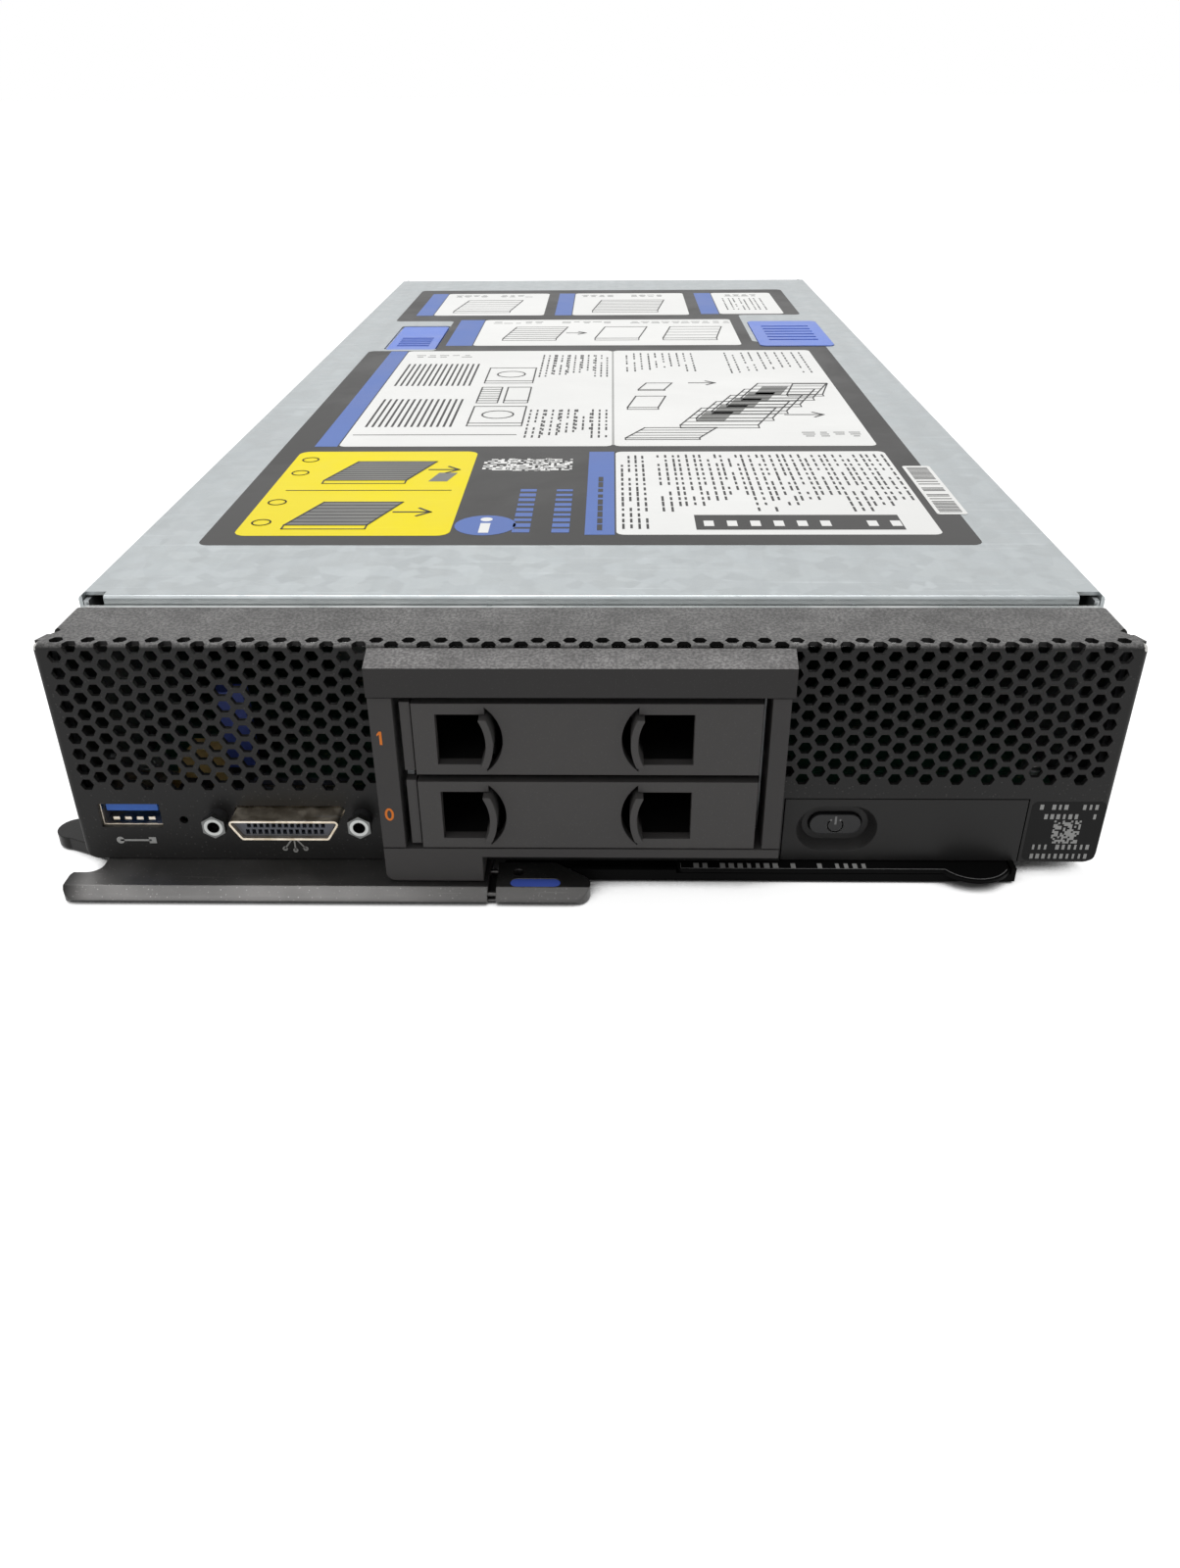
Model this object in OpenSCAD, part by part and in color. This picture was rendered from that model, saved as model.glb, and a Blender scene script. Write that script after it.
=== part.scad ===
// Half-wide blade compute node: folded steel pan and cover, honeycomb bezel, two drive
// bays with blanking fillers, cam lever with sliding latch and a pull-out label tab.
// Drawn from a datum at the bezel's front face and lower edge: +X right, +Y back, +Z up,
// then moved so that the origin is the middle of the rest face under the pan.

/* [Chassis] */
// Width over the bezel's front face
body_w = 214; // [213:0.5:215]
// Depth from the bezel's front face to the rear of the pan
body_d = 481; // [479:0.5:483]
// Height of the bezel's front face
bezel_h = 49.5; // [49.5:0.1:50]
// Depth of the bezel's top flange
bezel_d = 18.8; // [18:0.1:19]
// Drop from the bezel's lower edge to the underside of the pan
foot_drop = 3.2; // [3.1:0.1:3.3]
// Thickness of the pan and bezel sheet
sheet = 1; // [0.9:0.05:1.1]
// Outside radius of the bezel's folds
bend_r = 1.2; // [1.15:0.05:1.3]
// Radius of the bezel's lower corners
corner_r = 3; // [2:0.5:4]
// Depth of the raised front part of the pan's floor
raise_d = 78; // [76:1:80]

/* [Honeycomb] */
// Width across the flats of one hexagonal hole
hex_af = 2.5; // [2.3:0.05:2.6]
// Distance between neighbouring hole centres
hex_pitch = 3.6; // [3.55:0.01:3.65]
// Height of the row centred on the top fold, along the unfolded sheet
fold_row_z = 48.8; // [48.7:0.05:48.9]
// Rows down the front on the right of the bay
rows_right = 16; // [14:1:16]
// Rows down the front on the left of the bay
rows_left = 17; // [15:1:17]

/* [Drive bay] */
// Left edge of the bay surround
bay_x0 = -41.3; // [-41.5:0.1:-41]
// Right edge of the bay surround
bay_x1 = 38.8; // [38.5:0.1:39]
// How far the surround stands out of the bezel
bay_out = 8.2; // [8:0.1:8.4]
// How far the visor stands out of the bezel
visor_out = 9.2; // [9:0.1:9.4]
// Width of the surround's left pillar
pillar_left_w = 4.6; // [4.4:0.1:4.8]
// Width of the surround's right pillar
pillar_right_w = 3.5; // [3.3:0.1:3.6]
// Width of one filler's face
face_w = 66.9; // [66.5:0.1:67]
// Height of one filler's face
face_h = 15.5; // [15.3:0.1:15.6]
// Distance between the two fillers' centres
bay_pitch = 17.15; // [17:0.05:17.3]
// Depth of one filler behind the bezel
filler_d = 74; // [60:1:80]

/* [Lever] */
// Thickness of the lever's plate
lever_t = 2.8; // [2.6:0.1:2.8]
// Left end of the lever's front bar
lever_x0 = -108.4; // [-109:0.1:-108]
// Right end of the lever, beside the latch
lever_x1 = -20.4; // [-20.8:0.1:-20.3]
// Front of the lever's bar, ahead of the bezel
lever_out = 12; // [11.5:0.1:12.5]
// Distance from the bezel's front back to the lever's pivot
pivot_y = 12; // [11.5:0.1:12.5]
// Sideways place of the lever's pivot
pivot_x = -95; // [-95.5:0.1:-94.5]
// Radius of the lever's pivot pin
pivot_r = 2.5; // [2:0.1:3]
// Radial running clearance of pins in their holes
pin_clear = 0.05; // [0.02:0.01:0.08]

/* [Ports and button] */
// Width of the serial bus port's shell
usb_w = 12.8; // [12.5:0.1:13.2]
// Height of the serial bus port's shell
usb_h = 5.6; // [5.4:0.1:5.8]
// Distance between the console port's jack posts
jack_pitch = 30.1; // [29.9:0.1:30.3]
// Width across the flats of a jack post
jack_af = 4.6; // [4.5:0.1:4.8]
// Radius of the threaded hole in a jack post
jack_hole_r = 1.25; // [1.2:0.05:1.4]
// Width of the power button
button_w = 10.7; // [10.4:0.1:11]
// Height of the power button
button_h = 4.7; // [4.5:0.1:4.8]

/* [Cover] */
// Width over the sliding cover's flanges
cover_w = 213.4; // [213:0.1:213.6]
// Thickness of the cover sheet
cover_t = 0.8; // [0.7:0.05:0.9]
// Front edge of the cover, behind the bezel's front face
cover_y0 = 22.9; // [22.8:0.1:23.2]
// Rear edge of the cover
cover_y1 = 470; // [469:0.5:471]
// How far the cover slides back to unhook
cover_slide = 14; // [10:1:14]

/* [Boards] */
// Height of the system board's top face above the datum
board_top = 7.9; // [7.7:0.1:7.9]

// Thickness of the boards
board_t = 1.6; // [1.5:0.1:1.7]
// Memory sockets in one bank
dimm_count = 6; // [4:1:6]
// Distance between neighbouring memory sockets
dimm_pitch = 8.2; // [8:0.1:8.4]

/* [Hidden] */

$fn = 48;
eps = 0.01;

// Clearances
move_gap = 0.3;
seat_gap = 0.05;

// Where the board stands on its posts.
post_places = [for (x = [-99.6, 99.6], y = [24, 124, 268, 408, 462]) [x, y],
    for (x = [-45, 45], y = [134, 270, 408]) [x, y]];

// Steel and plastic colours
steel_black = [0.17, 0.17, 0.18];
plastic_black = [0.25, 0.24, 0.25];
galvanized = [0.72, 0.75, 0.75];
cast_grey = [0.45, 0.45, 0.44];
touch_blue = [0.13, 0.2, 0.6];
port_tin = [0.66, 0.63, 0.56];
board_green = [0.1, 0.28, 0.2];
socket_black = [0.08, 0.08, 0.09];
gold = [0.8, 0.65, 0.3];
alloy = [0.75, 0.76, 0.78];

// Chassis outline
half_w = body_w / 2;
flange_x = half_w - 1.2;
flare_y0 = 2.2;
flare_y1 = 5.2;
wall_x = cover_w / 2 - cover_t - move_gap;
tongue_x = flange_x - sheet - seat_gap;
tongue_y0 = 3;
wall_y0 = bezel_d + 0.4;
raised_z = 0.2;
rail_z = bezel_h - 2 * sheet;
rail_lip = 4.8;
rail_y1 = cover_y0 - move_gap;
wall_top = bezel_h - 0.3;
floor_z = -foot_drop;

// Cover
cover_z = bezel_h + 0.1;
cover_top = cover_z + cover_t;
hem_r = 0.9;
hem_drop = 2.3;
hem_half = 101.2;
flange_h = 8.2;
tab_len = 12;
tab_h = 1.5;
tab_z = 43.5;
tab_ys = [60, 180, 300, 420];
release_x = -86;
release_w = 21;
release_y = 284;
release_d = 52;
pad_x = 64;
pad_w = 30;
pad_y = 288;
pad_d = 56;

// Honeycomb
hex_dx = hex_pitch * sqrt(3) / 2;
hex_dz = hex_pitch / 2;
hex_r = hex_af / sqrt(3);
hex_left = [-104, -43.5];
hex_right = [40.5, 104];
last_column = 33;
fold_z = bezel_h - bend_r;
bend_arc = (bend_r - sheet / 2) * PI / 2;
fold_row_y = bend_r + fold_row_z - fold_z - bend_arc;
flange_row_y = fold_row_y + hex_dz;
fold_columns = 16;
side_row_y0 = 7.5;
side_columns = 2;
side_screws = [[15.4, 6], [15.4, 16]];
side_screw_r = 1.05;
corner_hole_y = 7;

// Drive bay
bay_z0 = 0.3;
strip_z = [6.2, 8.2];
visor_z = [42.9, 48.9];
visor_flare = 0.8;
visor_wall = 1.6;
groove = 0.6;
chin_w = 20;
chin_r = 2;
face_x0 = -33.2;
lower_face_z = 8.4;
face_out = 8;
face_t = 2.4;
strip_back = 0.7;
side_strip_w = 2;
runner_x = [-1.8, 67.9];
window_h = 10.9;
window_up = 2.3;
window_left = [4.4, 13.9];
window_right = [43.4, 54];
recess_sag = 3.3;
recess_h = 14;
blade_t = 1.4;
blade_sag = 1.2;
blade_out = 2;
blade_h = 10.4;
tab_hinge_y = 18;
tab_pin_r = 0.75;
tab_boss_r = 1.7;
filler_wall = 1.2;
cage_x = [-35.3, 35.1];
cage_z = [8.1, 41.4];
cage_y1 = 120;
bay_cut_z = [5.2, 44.2];

// Power panel
panel_x = [40.7, 90.3];
panel_z = [0.2, 15.2];
panel_t = 1.6;
panel_gap = 0.25;
bowl_x = 51.8;
bowl_z = 8.05;
bowl_w = 16.8;
bowl_h = 10.9;
bowl_d = 2.6;
bowl_back = 4;
button_set = 1.7;
button_travel = 1.5;

// Cage details
divider_w = 3;
cage_foot = 9;
cage_ear = 5;

// Ports
usb_x = -95.5;
usb_z = 10.7;
usb_set = 0.8;
usb_wall = 0.3;
usb_d = 14;
tongue_y1 = 11;
tongue_t = 1.8;
pin_hole_x = -84.4;
pin_hole_z = 9.7;
pin_hole_r = 0.9;
console_x = -61.9;
console_z = 10.6;
console_h = 4.6;
console_w = 22.4;
console_low_w = 18.6;
console_out = 5.5;
console_corner = 0.8;
ear_w = 37;
ear_h = 6.4;
contact_count = 13;
contact_pitch = 1.27;
slot_w = 0.8;
slot_h = 1.15;
jack_z = 10.4;
jack_out = 4;
jack_head = 1.5;
jack_neck_r = 2.15;

// Lever and latch
lever_z = -0.2 - lever_t;
bar_back = -5;
web_x0 = -102.4;
boss_r = 9;
nose_x = -118;
nose_r = 4;
latch_x0 = -18.7;
latch_front = 12;
latch_travel = 1.4;
tip_r = 3.6;
tip_x = -2.9;
ledge_x1 = latch_x0 + 1;
ledge_t = 0.4;
ledge_y0 = 1.2 - latch_front;
guide_r = 0.45;
guide_z = lever_z + lever_t / 2;
guide_ys = [-10.2, -2.2];
guide_x = [-29, -10.5];

// Label tray
tray_x = [-17.5, 89.6];
tray_y0 = -3;
tray_front_x = -3.4;
tray_short_y = 1.1;
tray_y1 = 69;
tray_z = -3;
tray_t = 0.8;
tray_wall = 1;
tab_x = [18.9, 88.2];
tab_t = 0.8;
tab_top = -0.1;
tab_front = -3.2;
tab_d = 62;
thumb_x = 81.2;
thumb_y = 1.3;
thumb_r = 8.2;

// Boards and inside parts
board_z = board_top - board_t;
board_x = 102.4;
board_y = [6, 470];
cage_notch_x = [-46, 46];
button_notch_y = 14;
cage_notch_y = 128;
cpu_ys = [199, 341];
dimm_len = 133.4;
dimm_h = 31;
dimm_x = 52;
socket_w = 6.4;
socket_h = 6.5;
sink_w = 88;
sink_d = 106;
fin_count = 30;
rear_y = 414;
guide_socket_z = 12.3;
screw_r = 1.6;
button_board_x = [44, 88];
button_board_y = 10;
button_board_z = [1.6, 16];
switch_half = 3;
plunger_r = 1.6;
plunger_len = 1;
reset_y = [7, 12];
reset_h = 5;
reset_stem_y = 5.6;
reset_stem_r = 1.2;
touch_x = [-79.4, -73];
touch_y = [16, 20];
touch_z = [13, 31.5];
touch_base_y1 = 40;
touch_gold_x0 = -90;
touch_gold_y1 = 28;
touch_gold_h = 6;
sink_gap = 5;
sink_base_t = 4;
sink_top = 45;
sink_screw = 40;
sink_boss_r = 4.5;
fin_t = 0.5;
baffle_half = 47.4;
baffle_top = 47.6;
baffle_t = 1.2;
baffle_y = [126, 400];
card_gap = 14;
card_x = 64;
card_half = 34;
rear_socket_y = 452;

// Points along an arc, its angles in degrees.
function arc_points(x, z, r, from, to, steps = 4) = [for (i = [0 : steps])
    let (a = from + (to - from) * i / steps) [x + r * cos(a), z + r * sin(a)]];

// Moves the drawing datum to the middle of the rest face.
module at_datum() {
    translate([0, -body_d / 2, foot_drop]) children();
}

// A block given by its three spans.
module span(x, y, z) {
    translate([x[0], y[0], z[0]]) cube([x[1] - x[0], y[1] - y[0], z[1] - z[0]]);
}

// A flat shape drawn as seen from the front, given a thickness along Y.
module from_front(y, depth) {
    translate([0, y + depth, 0]) rotate([90, 0, 0]) linear_extrude(depth) children();
}

// A flat shape drawn as (Y, Z), given a thickness along X.
module from_side(x, width) {
    translate([x, 0, 0]) rotate([90, 0, 90]) linear_extrude(width) children();
}

// A rectangle with the same radius at each corner, drawn from its lower left corner.
module round_rect(w, h, r) {
    translate([r, 0]) square([w - 2 * r, h]);
    translate([0, r]) square([w, h - 2 * r]);
    for (x = [r, w - r], y = [r, h - r]) translate([x, y]) circle(r);
}

// A slot shape with round ends, centred on the origin.
module stadium(w, h) {
    square([w - h, h], center = true);
    for (side = [-1, 1]) translate([side * (w - h) / 2, 0]) circle(h / 2);
}

// One hexagonal hole with flats at its top and bottom.
module hexagon() {
    circle(hex_r, $fn = 6);
}

// ---- Folded sheet pan ----

// Plain outline of one side wall, stepped down in front under the bezel.
module wall_profile() {
    polygon([[wall_y0, raised_z], [raise_d, raised_z], [raise_d, floor_z],
        [body_d, floor_z], [body_d, wall_top], [cover_y0 + 0.4, wall_top],
        [cover_y0 + 0.4, rail_z - seat_gap], [wall_y0, rail_z - seat_gap]]);
}

// L-shaped slot that a cover hook drops into and slides along.
module hook_slot(y) {
    slot_y0 = y - move_gap;
    slot_y1 = y + tab_len + cover_slide + move_gap;
    translate([slot_y0, tab_z - move_gap])
        square([slot_y1 - slot_y0, tab_h + 2 * move_gap]);
    translate([slot_y1 - tab_len - 2 * move_gap, tab_z])
        square([tab_len + 2 * move_gap, wall_top]);
}

module side_wall() {
    from_side(wall_x - sheet, sheet) difference() {
        wall_profile();
        for (y = tab_ys) hook_slot(y);
    }
    span([tongue_x - sheet, wall_x], [wall_y0, wall_y0 + sheet], [raised_z, rail_z - seat_gap]);
    span([tongue_x - sheet, tongue_x], [tongue_y0, wall_y0 + sheet], [raised_z, rail_z - seat_gap]);
}

module base_pan() {
    color(galvanized) difference() {
        union() {
            span([-wall_x, wall_x], [raise_d, body_d], [floor_z, floor_z + sheet]);
            span([-wall_x, wall_x], [raise_d, raise_d + sheet], [floor_z, raised_z + sheet]);
            span([-wall_x, wall_x], [wall_y0, raise_d + sheet], [raised_z, raised_z + sheet]);
            span([-tongue_x, tongue_x], [tongue_y0, wall_y0 + sheet], [raised_z, raised_z + sheet]);
            for (side = [0, 1]) mirror([side, 0, 0]) side_wall();
        }
        translate([pivot_x, pivot_y, raised_z - eps]) cylinder(r = pivot_r, h = sheet + 2 * eps);
        for (p = side_screws) from_side(-body_w / 2, body_w) translate(p) circle(side_screw_r);
    }
}

// ---- Honeycomb bezel, folded over its top edge ----

// Quarter of a sheet fold: a ring sector in the upper right quadrant.
module fold_ring() {
    intersection() {
        difference() {
            circle(bend_r);
            circle(bend_r - sheet);
        }
        square(bend_r);
    }
}

// Flat part of the front face with its holes and openings.
module front_plate() {
    from_front(0, sheet) difference() {
        translate([bend_r - half_w, 0]) square([body_w - 2 * bend_r, fold_z]);
        front_holes();
        hole_row(fold_row_z);
        front_openings();
    }
}

// Top flange, flared to full width towards the front fold.
module top_flange() {
    side = flange_x - bend_r;
    front_side = half_w - bend_r;
    translate([0, 0, bezel_h - sheet]) linear_extrude(sheet) difference() {
        polygon([[-front_side, bend_r], [front_side, bend_r], [front_side, flare_y0],
            [side, flare_y1], [side, bezel_d], [-side, bezel_d], [-side, flare_y1],
            [-front_side, flare_y0]]);
        flange_holes();
        hole_row(fold_row_y);
    }
}

// Bend between the front face and the top flange, with the holes that run over it.
module top_fold() {
    difference() {
        from_side(bend_r - half_w, body_w - 2 * bend_r) translate([bend_r, fold_z])
            mirror([1, 0]) fold_ring();
        from_front(-1, bend_r + 1) hole_row(fold_row_z);
        translate([0, 0, fold_z - eps]) linear_extrude(2 * bend_r) hole_row(fold_row_y);
    }
}

// Right side flange: a wall stepped inwards behind the front fold.
module side_flange() {
    from_side(flange_x - sheet, sheet) difference() {
        translate([flare_y1, 0]) square([bezel_d - flare_y1, fold_z]);
        side_holes();
        for (p = side_screws) translate(p) circle(side_screw_r);
    }
    linear_extrude(fold_z) polygon([[half_w - sheet, bend_r], [half_w, bend_r],
        [half_w, flare_y0], [flange_x, flare_y1], [flange_x - sheet, flare_y1],
        [half_w - sheet, flare_y0]]);
    translate([0, 0, fold_z - eps]) linear_extrude(bend_r + eps) polygon([
        [half_w - bend_r, flare_y0], [half_w, flare_y0], [flange_x, flare_y1],
        [flange_x - bend_r, flare_y1]]);
}

// Right-hand folds: top to side, front to side, and the ball corner between them.
module side_folds() {
    x = half_w - bend_r;
    from_front(flare_y1, bezel_d - flare_y1) translate([flange_x - bend_r, fold_z]) fold_ring();
    from_front(bend_r, flare_y0 - bend_r) translate([x, fold_z]) fold_ring();
    translate([x, bend_r, 0]) mirror([0, 1, 0]) linear_extrude(fold_z) fold_ring();
    translate([x, bend_r, fold_z]) intersection() {
        difference() {
            sphere(bend_r);
            sphere(bend_r - sheet);
        }
        translate([0, -bend_r, 0]) cube(bend_r);
    }
}

// What rounds off the lower right corner of the front.
module corner_cutter() {
    from_front(-1, flare_y1) difference() {
        translate([half_w - corner_r, -1]) square([corner_r + 1, corner_r + 1]);
        translate([half_w - corner_r, corner_r]) circle(corner_r);
    }
}

// True where a hole column lies inside a span of x.
function in_span(x, s) = x > s[0] && x < s[1];

// Holes on the flat front, rows 1 and down, left and right of the bay.
module front_holes() {
    for (k = [1 : rows_left], i = [-last_column : last_column]) {
        x = i * hex_dx;
        z = fold_row_z - k * hex_dz;
        parity = (i + k) % 2 == 0;
        side_ok = in_span(x, hex_left) || (in_span(x, hex_right) && k <= rows_right);
        if (parity && side_ok) translate([x, z]) hexagon();
    }
}

// One row of holes right across, at a height or a depth.
module hole_row(place) {
    for (i = [-fold_columns : fold_columns]) translate([2 * i * hex_dx, place]) hexagon();
}

// Holes in the top flange just behind the fold.
module flange_holes() {
    for (i = [-17 : 16]) translate([(2 * i + 1) * hex_dx, flange_row_y]) hexagon();
}

// Holes in one side flange, continuing the pattern round the corner.
module side_holes() {
    for (k = [1 : rows_left], i = [0 : side_columns - 1])
        if ((i + k) % 2 == 0)
            translate([side_row_y0 + i * hex_dx, fold_row_z - k * hex_dz]) hexagon();
}

// Openings for the ports, the bay and the power panel.
module front_openings() {
    translate([usb_x - usb_w / 2 - seat_gap, usb_z - usb_h / 2 - seat_gap])
        square([usb_w + 2 * seat_gap, usb_h + 2 * seat_gap]);
    translate([pin_hole_x, pin_hole_z]) circle(pin_hole_r);
    for (side = [-1, 1]) translate([console_x + side * jack_pitch / 2, jack_z]) circle(2);
    translate([console_x, console_z]) console_outline(0.3);
    translate([cage_x[0] - 1.4, bay_cut_z[0]])
        square([cage_x[1] - cage_x[0] + 2.8, bay_cut_z[1] - bay_cut_z[0]]);
    translate([panel_x[0] - panel_gap, -corner_r])
        square([panel_x[1] - panel_x[0] + 2 * panel_gap, panel_z[1] + corner_r + panel_gap]);
}

module front_bezel() {
    color(steel_black) difference() {
        union() {
            front_plate();
            top_flange();
            top_fold();
            for (side = [0, 1]) mirror([side, 0, 0]) {
                side_flange();
                side_folds();
            }
        }
        for (side = [0, 1]) mirror([side, 0, 0]) {
            corner_cutter();
            translate([flange_x - bend_r, corner_hole_y, fold_z]) rotate([0, 45, 0])
                linear_extrude(2 * bend_r) hexagon();
        }
    }
}

// Flange of plated steel that shows as a bright strip behind the bezel.
module front_rail() {
    color(galvanized) {
        span([-tongue_x + sheet + seat_gap, tongue_x - sheet - seat_gap], [4, wall_y0 + 0.2],
            [rail_z, rail_z + sheet - seat_gap]);
        span([-wall_x, wall_x], [wall_y0, rail_y1], [rail_z, rail_z + sheet - seat_gap]);
        span([-tongue_x + sheet + seat_gap, tongue_x - sheet - seat_gap], [rail_y1 - sheet, rail_y1],
            [rail_z - rail_lip, rail_z]);
    }
}

// ---- Bay surround ----

module surround_plan(out) {
    polygon([[bay_x0 - visor_flare, 0], [bay_x0, -out], [bay_x1 + 0.5, -out],
        [bay_x1 + 0.5 + visor_flare, 0]]);
}

module bay_surround() {
    pillar_z = [strip_z[1] + groove / 2, visor_z[0] - groove];
    color(plastic_black) {
        difference() {
            translate([0, 0, visor_z[0]]) linear_extrude(visor_z[1] - visor_z[0])
                surround_plan(visor_out);
            span([bay_x0 + visor_wall, bay_x1 - visor_wall], [visor_wall - visor_out, eps],
                [visor_z[0] + visor_wall, visor_z[1] - visor_wall]);
        }
        span([bay_x0, bay_x0 + pillar_left_w], [-bay_out, 0], pillar_z);
        span([bay_x1 - pillar_right_w, bay_x1], [-bay_out, 0], pillar_z);
        span([bay_x0 + 1, bay_x0 + pillar_left_w], [1 - bay_out, 0], [strip_z[1], visor_z[0]]);
        span([bay_x1 - pillar_right_w, bay_x1 - 1], [1 - bay_out, 0], [strip_z[1], visor_z[0]]);
        span([bay_x0, bay_x1], [-bay_out, 0], strip_z);
        from_front(-bay_out, bay_out) translate([bay_x0, bay_z0]) {
            translate([0, chin_r]) square([chin_w, strip_z[0] - bay_z0 - chin_r + eps]);
            translate([chin_r, 0]) square([chin_w - chin_r, chin_r + eps]);
            translate([chin_r, chin_r]) circle(chin_r);
        }
    }
}

// ---- Drive cage and fillers ----

module drive_cage() {
    x0 = cage_x[0];
    x1 = cage_x[1];
    mid_z = (cage_z[0] + cage_z[1]) / 2;
    color(galvanized) difference() {
        union() {
            span([x0 - sheet, x0], [sheet, cage_y1], [cage_z[0] - sheet, cage_z[1] + sheet]);
            span([x1, x1 + sheet], [sheet, cage_y1], [cage_z[0] - sheet, cage_z[1] + sheet]);
            span([x0, x1], [sheet, cage_y1], [cage_z[0] - sheet, cage_z[0]]);
            span([x0, x1], [sheet, cage_y1], [cage_z[1], cage_z[1] + sheet]);
            span([x0, x0 + divider_w], [sheet + 1, cage_y1], [mid_z - 0.4, mid_z + 0.4]);
            span([x1 - divider_w, x1], [sheet + 1, cage_y1], [mid_z - 0.4, mid_z + 0.4]);
            for (side = [0, 1]) {
                span([side ? x1 : x0 - cage_foot, side ? x1 + cage_foot : x0], [cage_y1 - 12, cage_y1],
                    [cage_z[0] - sheet, cage_z[0]]);
                span([side ? x1 : x0 - cage_ear, side ? x1 + cage_ear : x0], [sheet, 2 * sheet],
                    [cage_z[0] + 8, cage_z[1]]);
            }
        }
        for (x = [-24 : 12 : 24], y = [24 : 18 : 96]) translate([x, y, cage_z[0] - 2 * sheet])
            linear_extrude(bezel_h) stadium(8, 5);
    }
}

// Curved blade outline as seen from the front, bulging to +X, its foot at the origin.
module blade_outline(h, sag, t) {
    r = (h * h / 4 + sag * sag) / (2 * sag);
    intersection() {
        translate([sag - r, h / 2]) difference() {
            circle(r, $fn = 96);
            circle(r - t, $fn = 96);
        }
        translate([-t, 0]) square([sag + t, h]);
    }
}

// One finger window: a plain rectangle and a curved recess on its inner side.
module window_outline(x, flip) {
    r = (recess_h * recess_h / 4 + recess_sag * recess_sag) / (2 * recess_sag);
    inner = flip ? x[0] : x[1];
    translate([x[0], window_up]) square([x[1] - x[0], window_h]);
    intersection() {
        translate([inner + (flip ? r - recess_sag : recess_sag - r), face_h / 2])
            circle(r, $fn = 96);
        translate([flip ? inner - recess_sag : inner, (face_h - recess_h) / 2])
            square([recess_sag, recess_h]);
    }
}

module filler(z) {
    color(plastic_black) translate([face_x0, 0, z]) {
        difference() {
            union() {
                from_front(-face_out, face_t) square([face_w, face_h]);
                from_front(strip_back - face_out, face_t) translate([-side_strip_w - 0.3, 0.6])
                    square([side_strip_w, face_h - 0.6]);
                span([-1, 1], [face_t + strip_back - face_out - 1, face_t + strip_back - face_out],
                    [1, face_h - 1]);
                span([0, face_w], [face_t - face_out, filler_d], [0.4, face_h - 0.4]);
                span([runner_x[0], runner_x[1]], [6, filler_d], [5.6, 9]);
            }
            span([filler_wall, face_w - filler_wall], [face_t - face_out, filler_d + 1],
                [0.4 + filler_wall, face_h - 0.4 - filler_wall]);
            from_front(-face_out - 1, face_t + 2) window_outline(window_left, false);
            from_front(-face_out - 1, face_t + 2) window_outline(window_right, true);
            for (x = [14 : 13 : 54], y = [30, 52]) translate([x, y, -1])
                linear_extrude(face_h + 2) stadium(8, 6);
        }
        for (x = [pin_x(false), pin_x(true)]) translate([x, tab_hinge_y, filler_wall])
            cylinder(r = tab_pin_r, h = face_h - 2 * filler_wall);
    }
}

// Place of a finger tab's pivot, measured from the left edge of the filler's face.
function pin_x(flip) = flip ? window_right[0] - 0.6 : window_left[1] + 0.6;

module filler_upper() {
    filler(lower_face_z + bay_pitch);
}

module filler_lower() {
    filler(lower_face_z);
}

// Pinch tab: curved blade in front, flat arm behind it and a boss on the pivot.
module finger_tab(z, flip) {
    px = face_x0 + pin_x(flip);
    arm_z = [2.4, face_h - 2.4];
    color(plastic_black) translate([px, 0, z]) mirror([flip ? 1 : 0, 0, 0]) difference() {
        union() {
            from_front(-face_out - blade_out, 8) translate([-0.2, (face_h - blade_h) / 2])
                blade_outline(blade_h, blade_sag, blade_t);
            span([-0.8, 0.8], [-4, tab_hinge_y], arm_z);
            translate([0, tab_hinge_y, arm_z[0]]) cylinder(r = tab_boss_r, h = arm_z[1] - arm_z[0]);
        }
        translate([0, tab_hinge_y, 0]) cylinder(r = tab_pin_r + pin_clear, h = face_h);
    }
}

module finger_tab_upper_left() {
    finger_tab(lower_face_z + bay_pitch, false);
}

module finger_tab_upper_right() {
    finger_tab(lower_face_z + bay_pitch, true);
}

module finger_tab_lower_left() {
    finger_tab(lower_face_z, false);
}

module finger_tab_lower_right() {
    finger_tab(lower_face_z, true);
}

// ---- Power panel and button ----

module power_panel() {
    w = panel_x[1] - panel_x[0];
    color(plastic_black) difference() {
        union() {
            span(panel_x, [0, panel_t], panel_z);
            from_front(panel_t - eps, bowl_back - panel_t) translate([bowl_x, bowl_z])
                stadium(bowl_w + 1.6, bowl_h + 1.6);
            for (x = [panel_x[0], panel_x[1] - 1.2]) span([x, x + 1.2], [panel_t - eps, 3], panel_z);
        }
        translate([bowl_x, 0, bowl_z]) hull() for (side = [-1, 1])
            translate([side * (bowl_w - bowl_h) / 2, -eps, 0]) rotate([-90, 0, 0])
                cylinder(r1 = bowl_h / 2, r2 = bowl_h / 2 - 1.5, h = bowl_d);
        from_front(0, bowl_back + 1) translate([bowl_x, bowl_z])
            stadium(button_w + 2 * move_gap, button_h + 2 * move_gap);
    }
}

module power_button() {
    color(plastic_black) {
        from_front(button_set, bowl_back + move_gap - button_set + eps)
            translate([bowl_x, bowl_z]) stadium(button_w, button_h);
        from_front(bowl_back + move_gap, 0.8) translate([bowl_x, bowl_z])
            stadium(button_w + 2.4, button_h + 2.4);
    }
}

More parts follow.
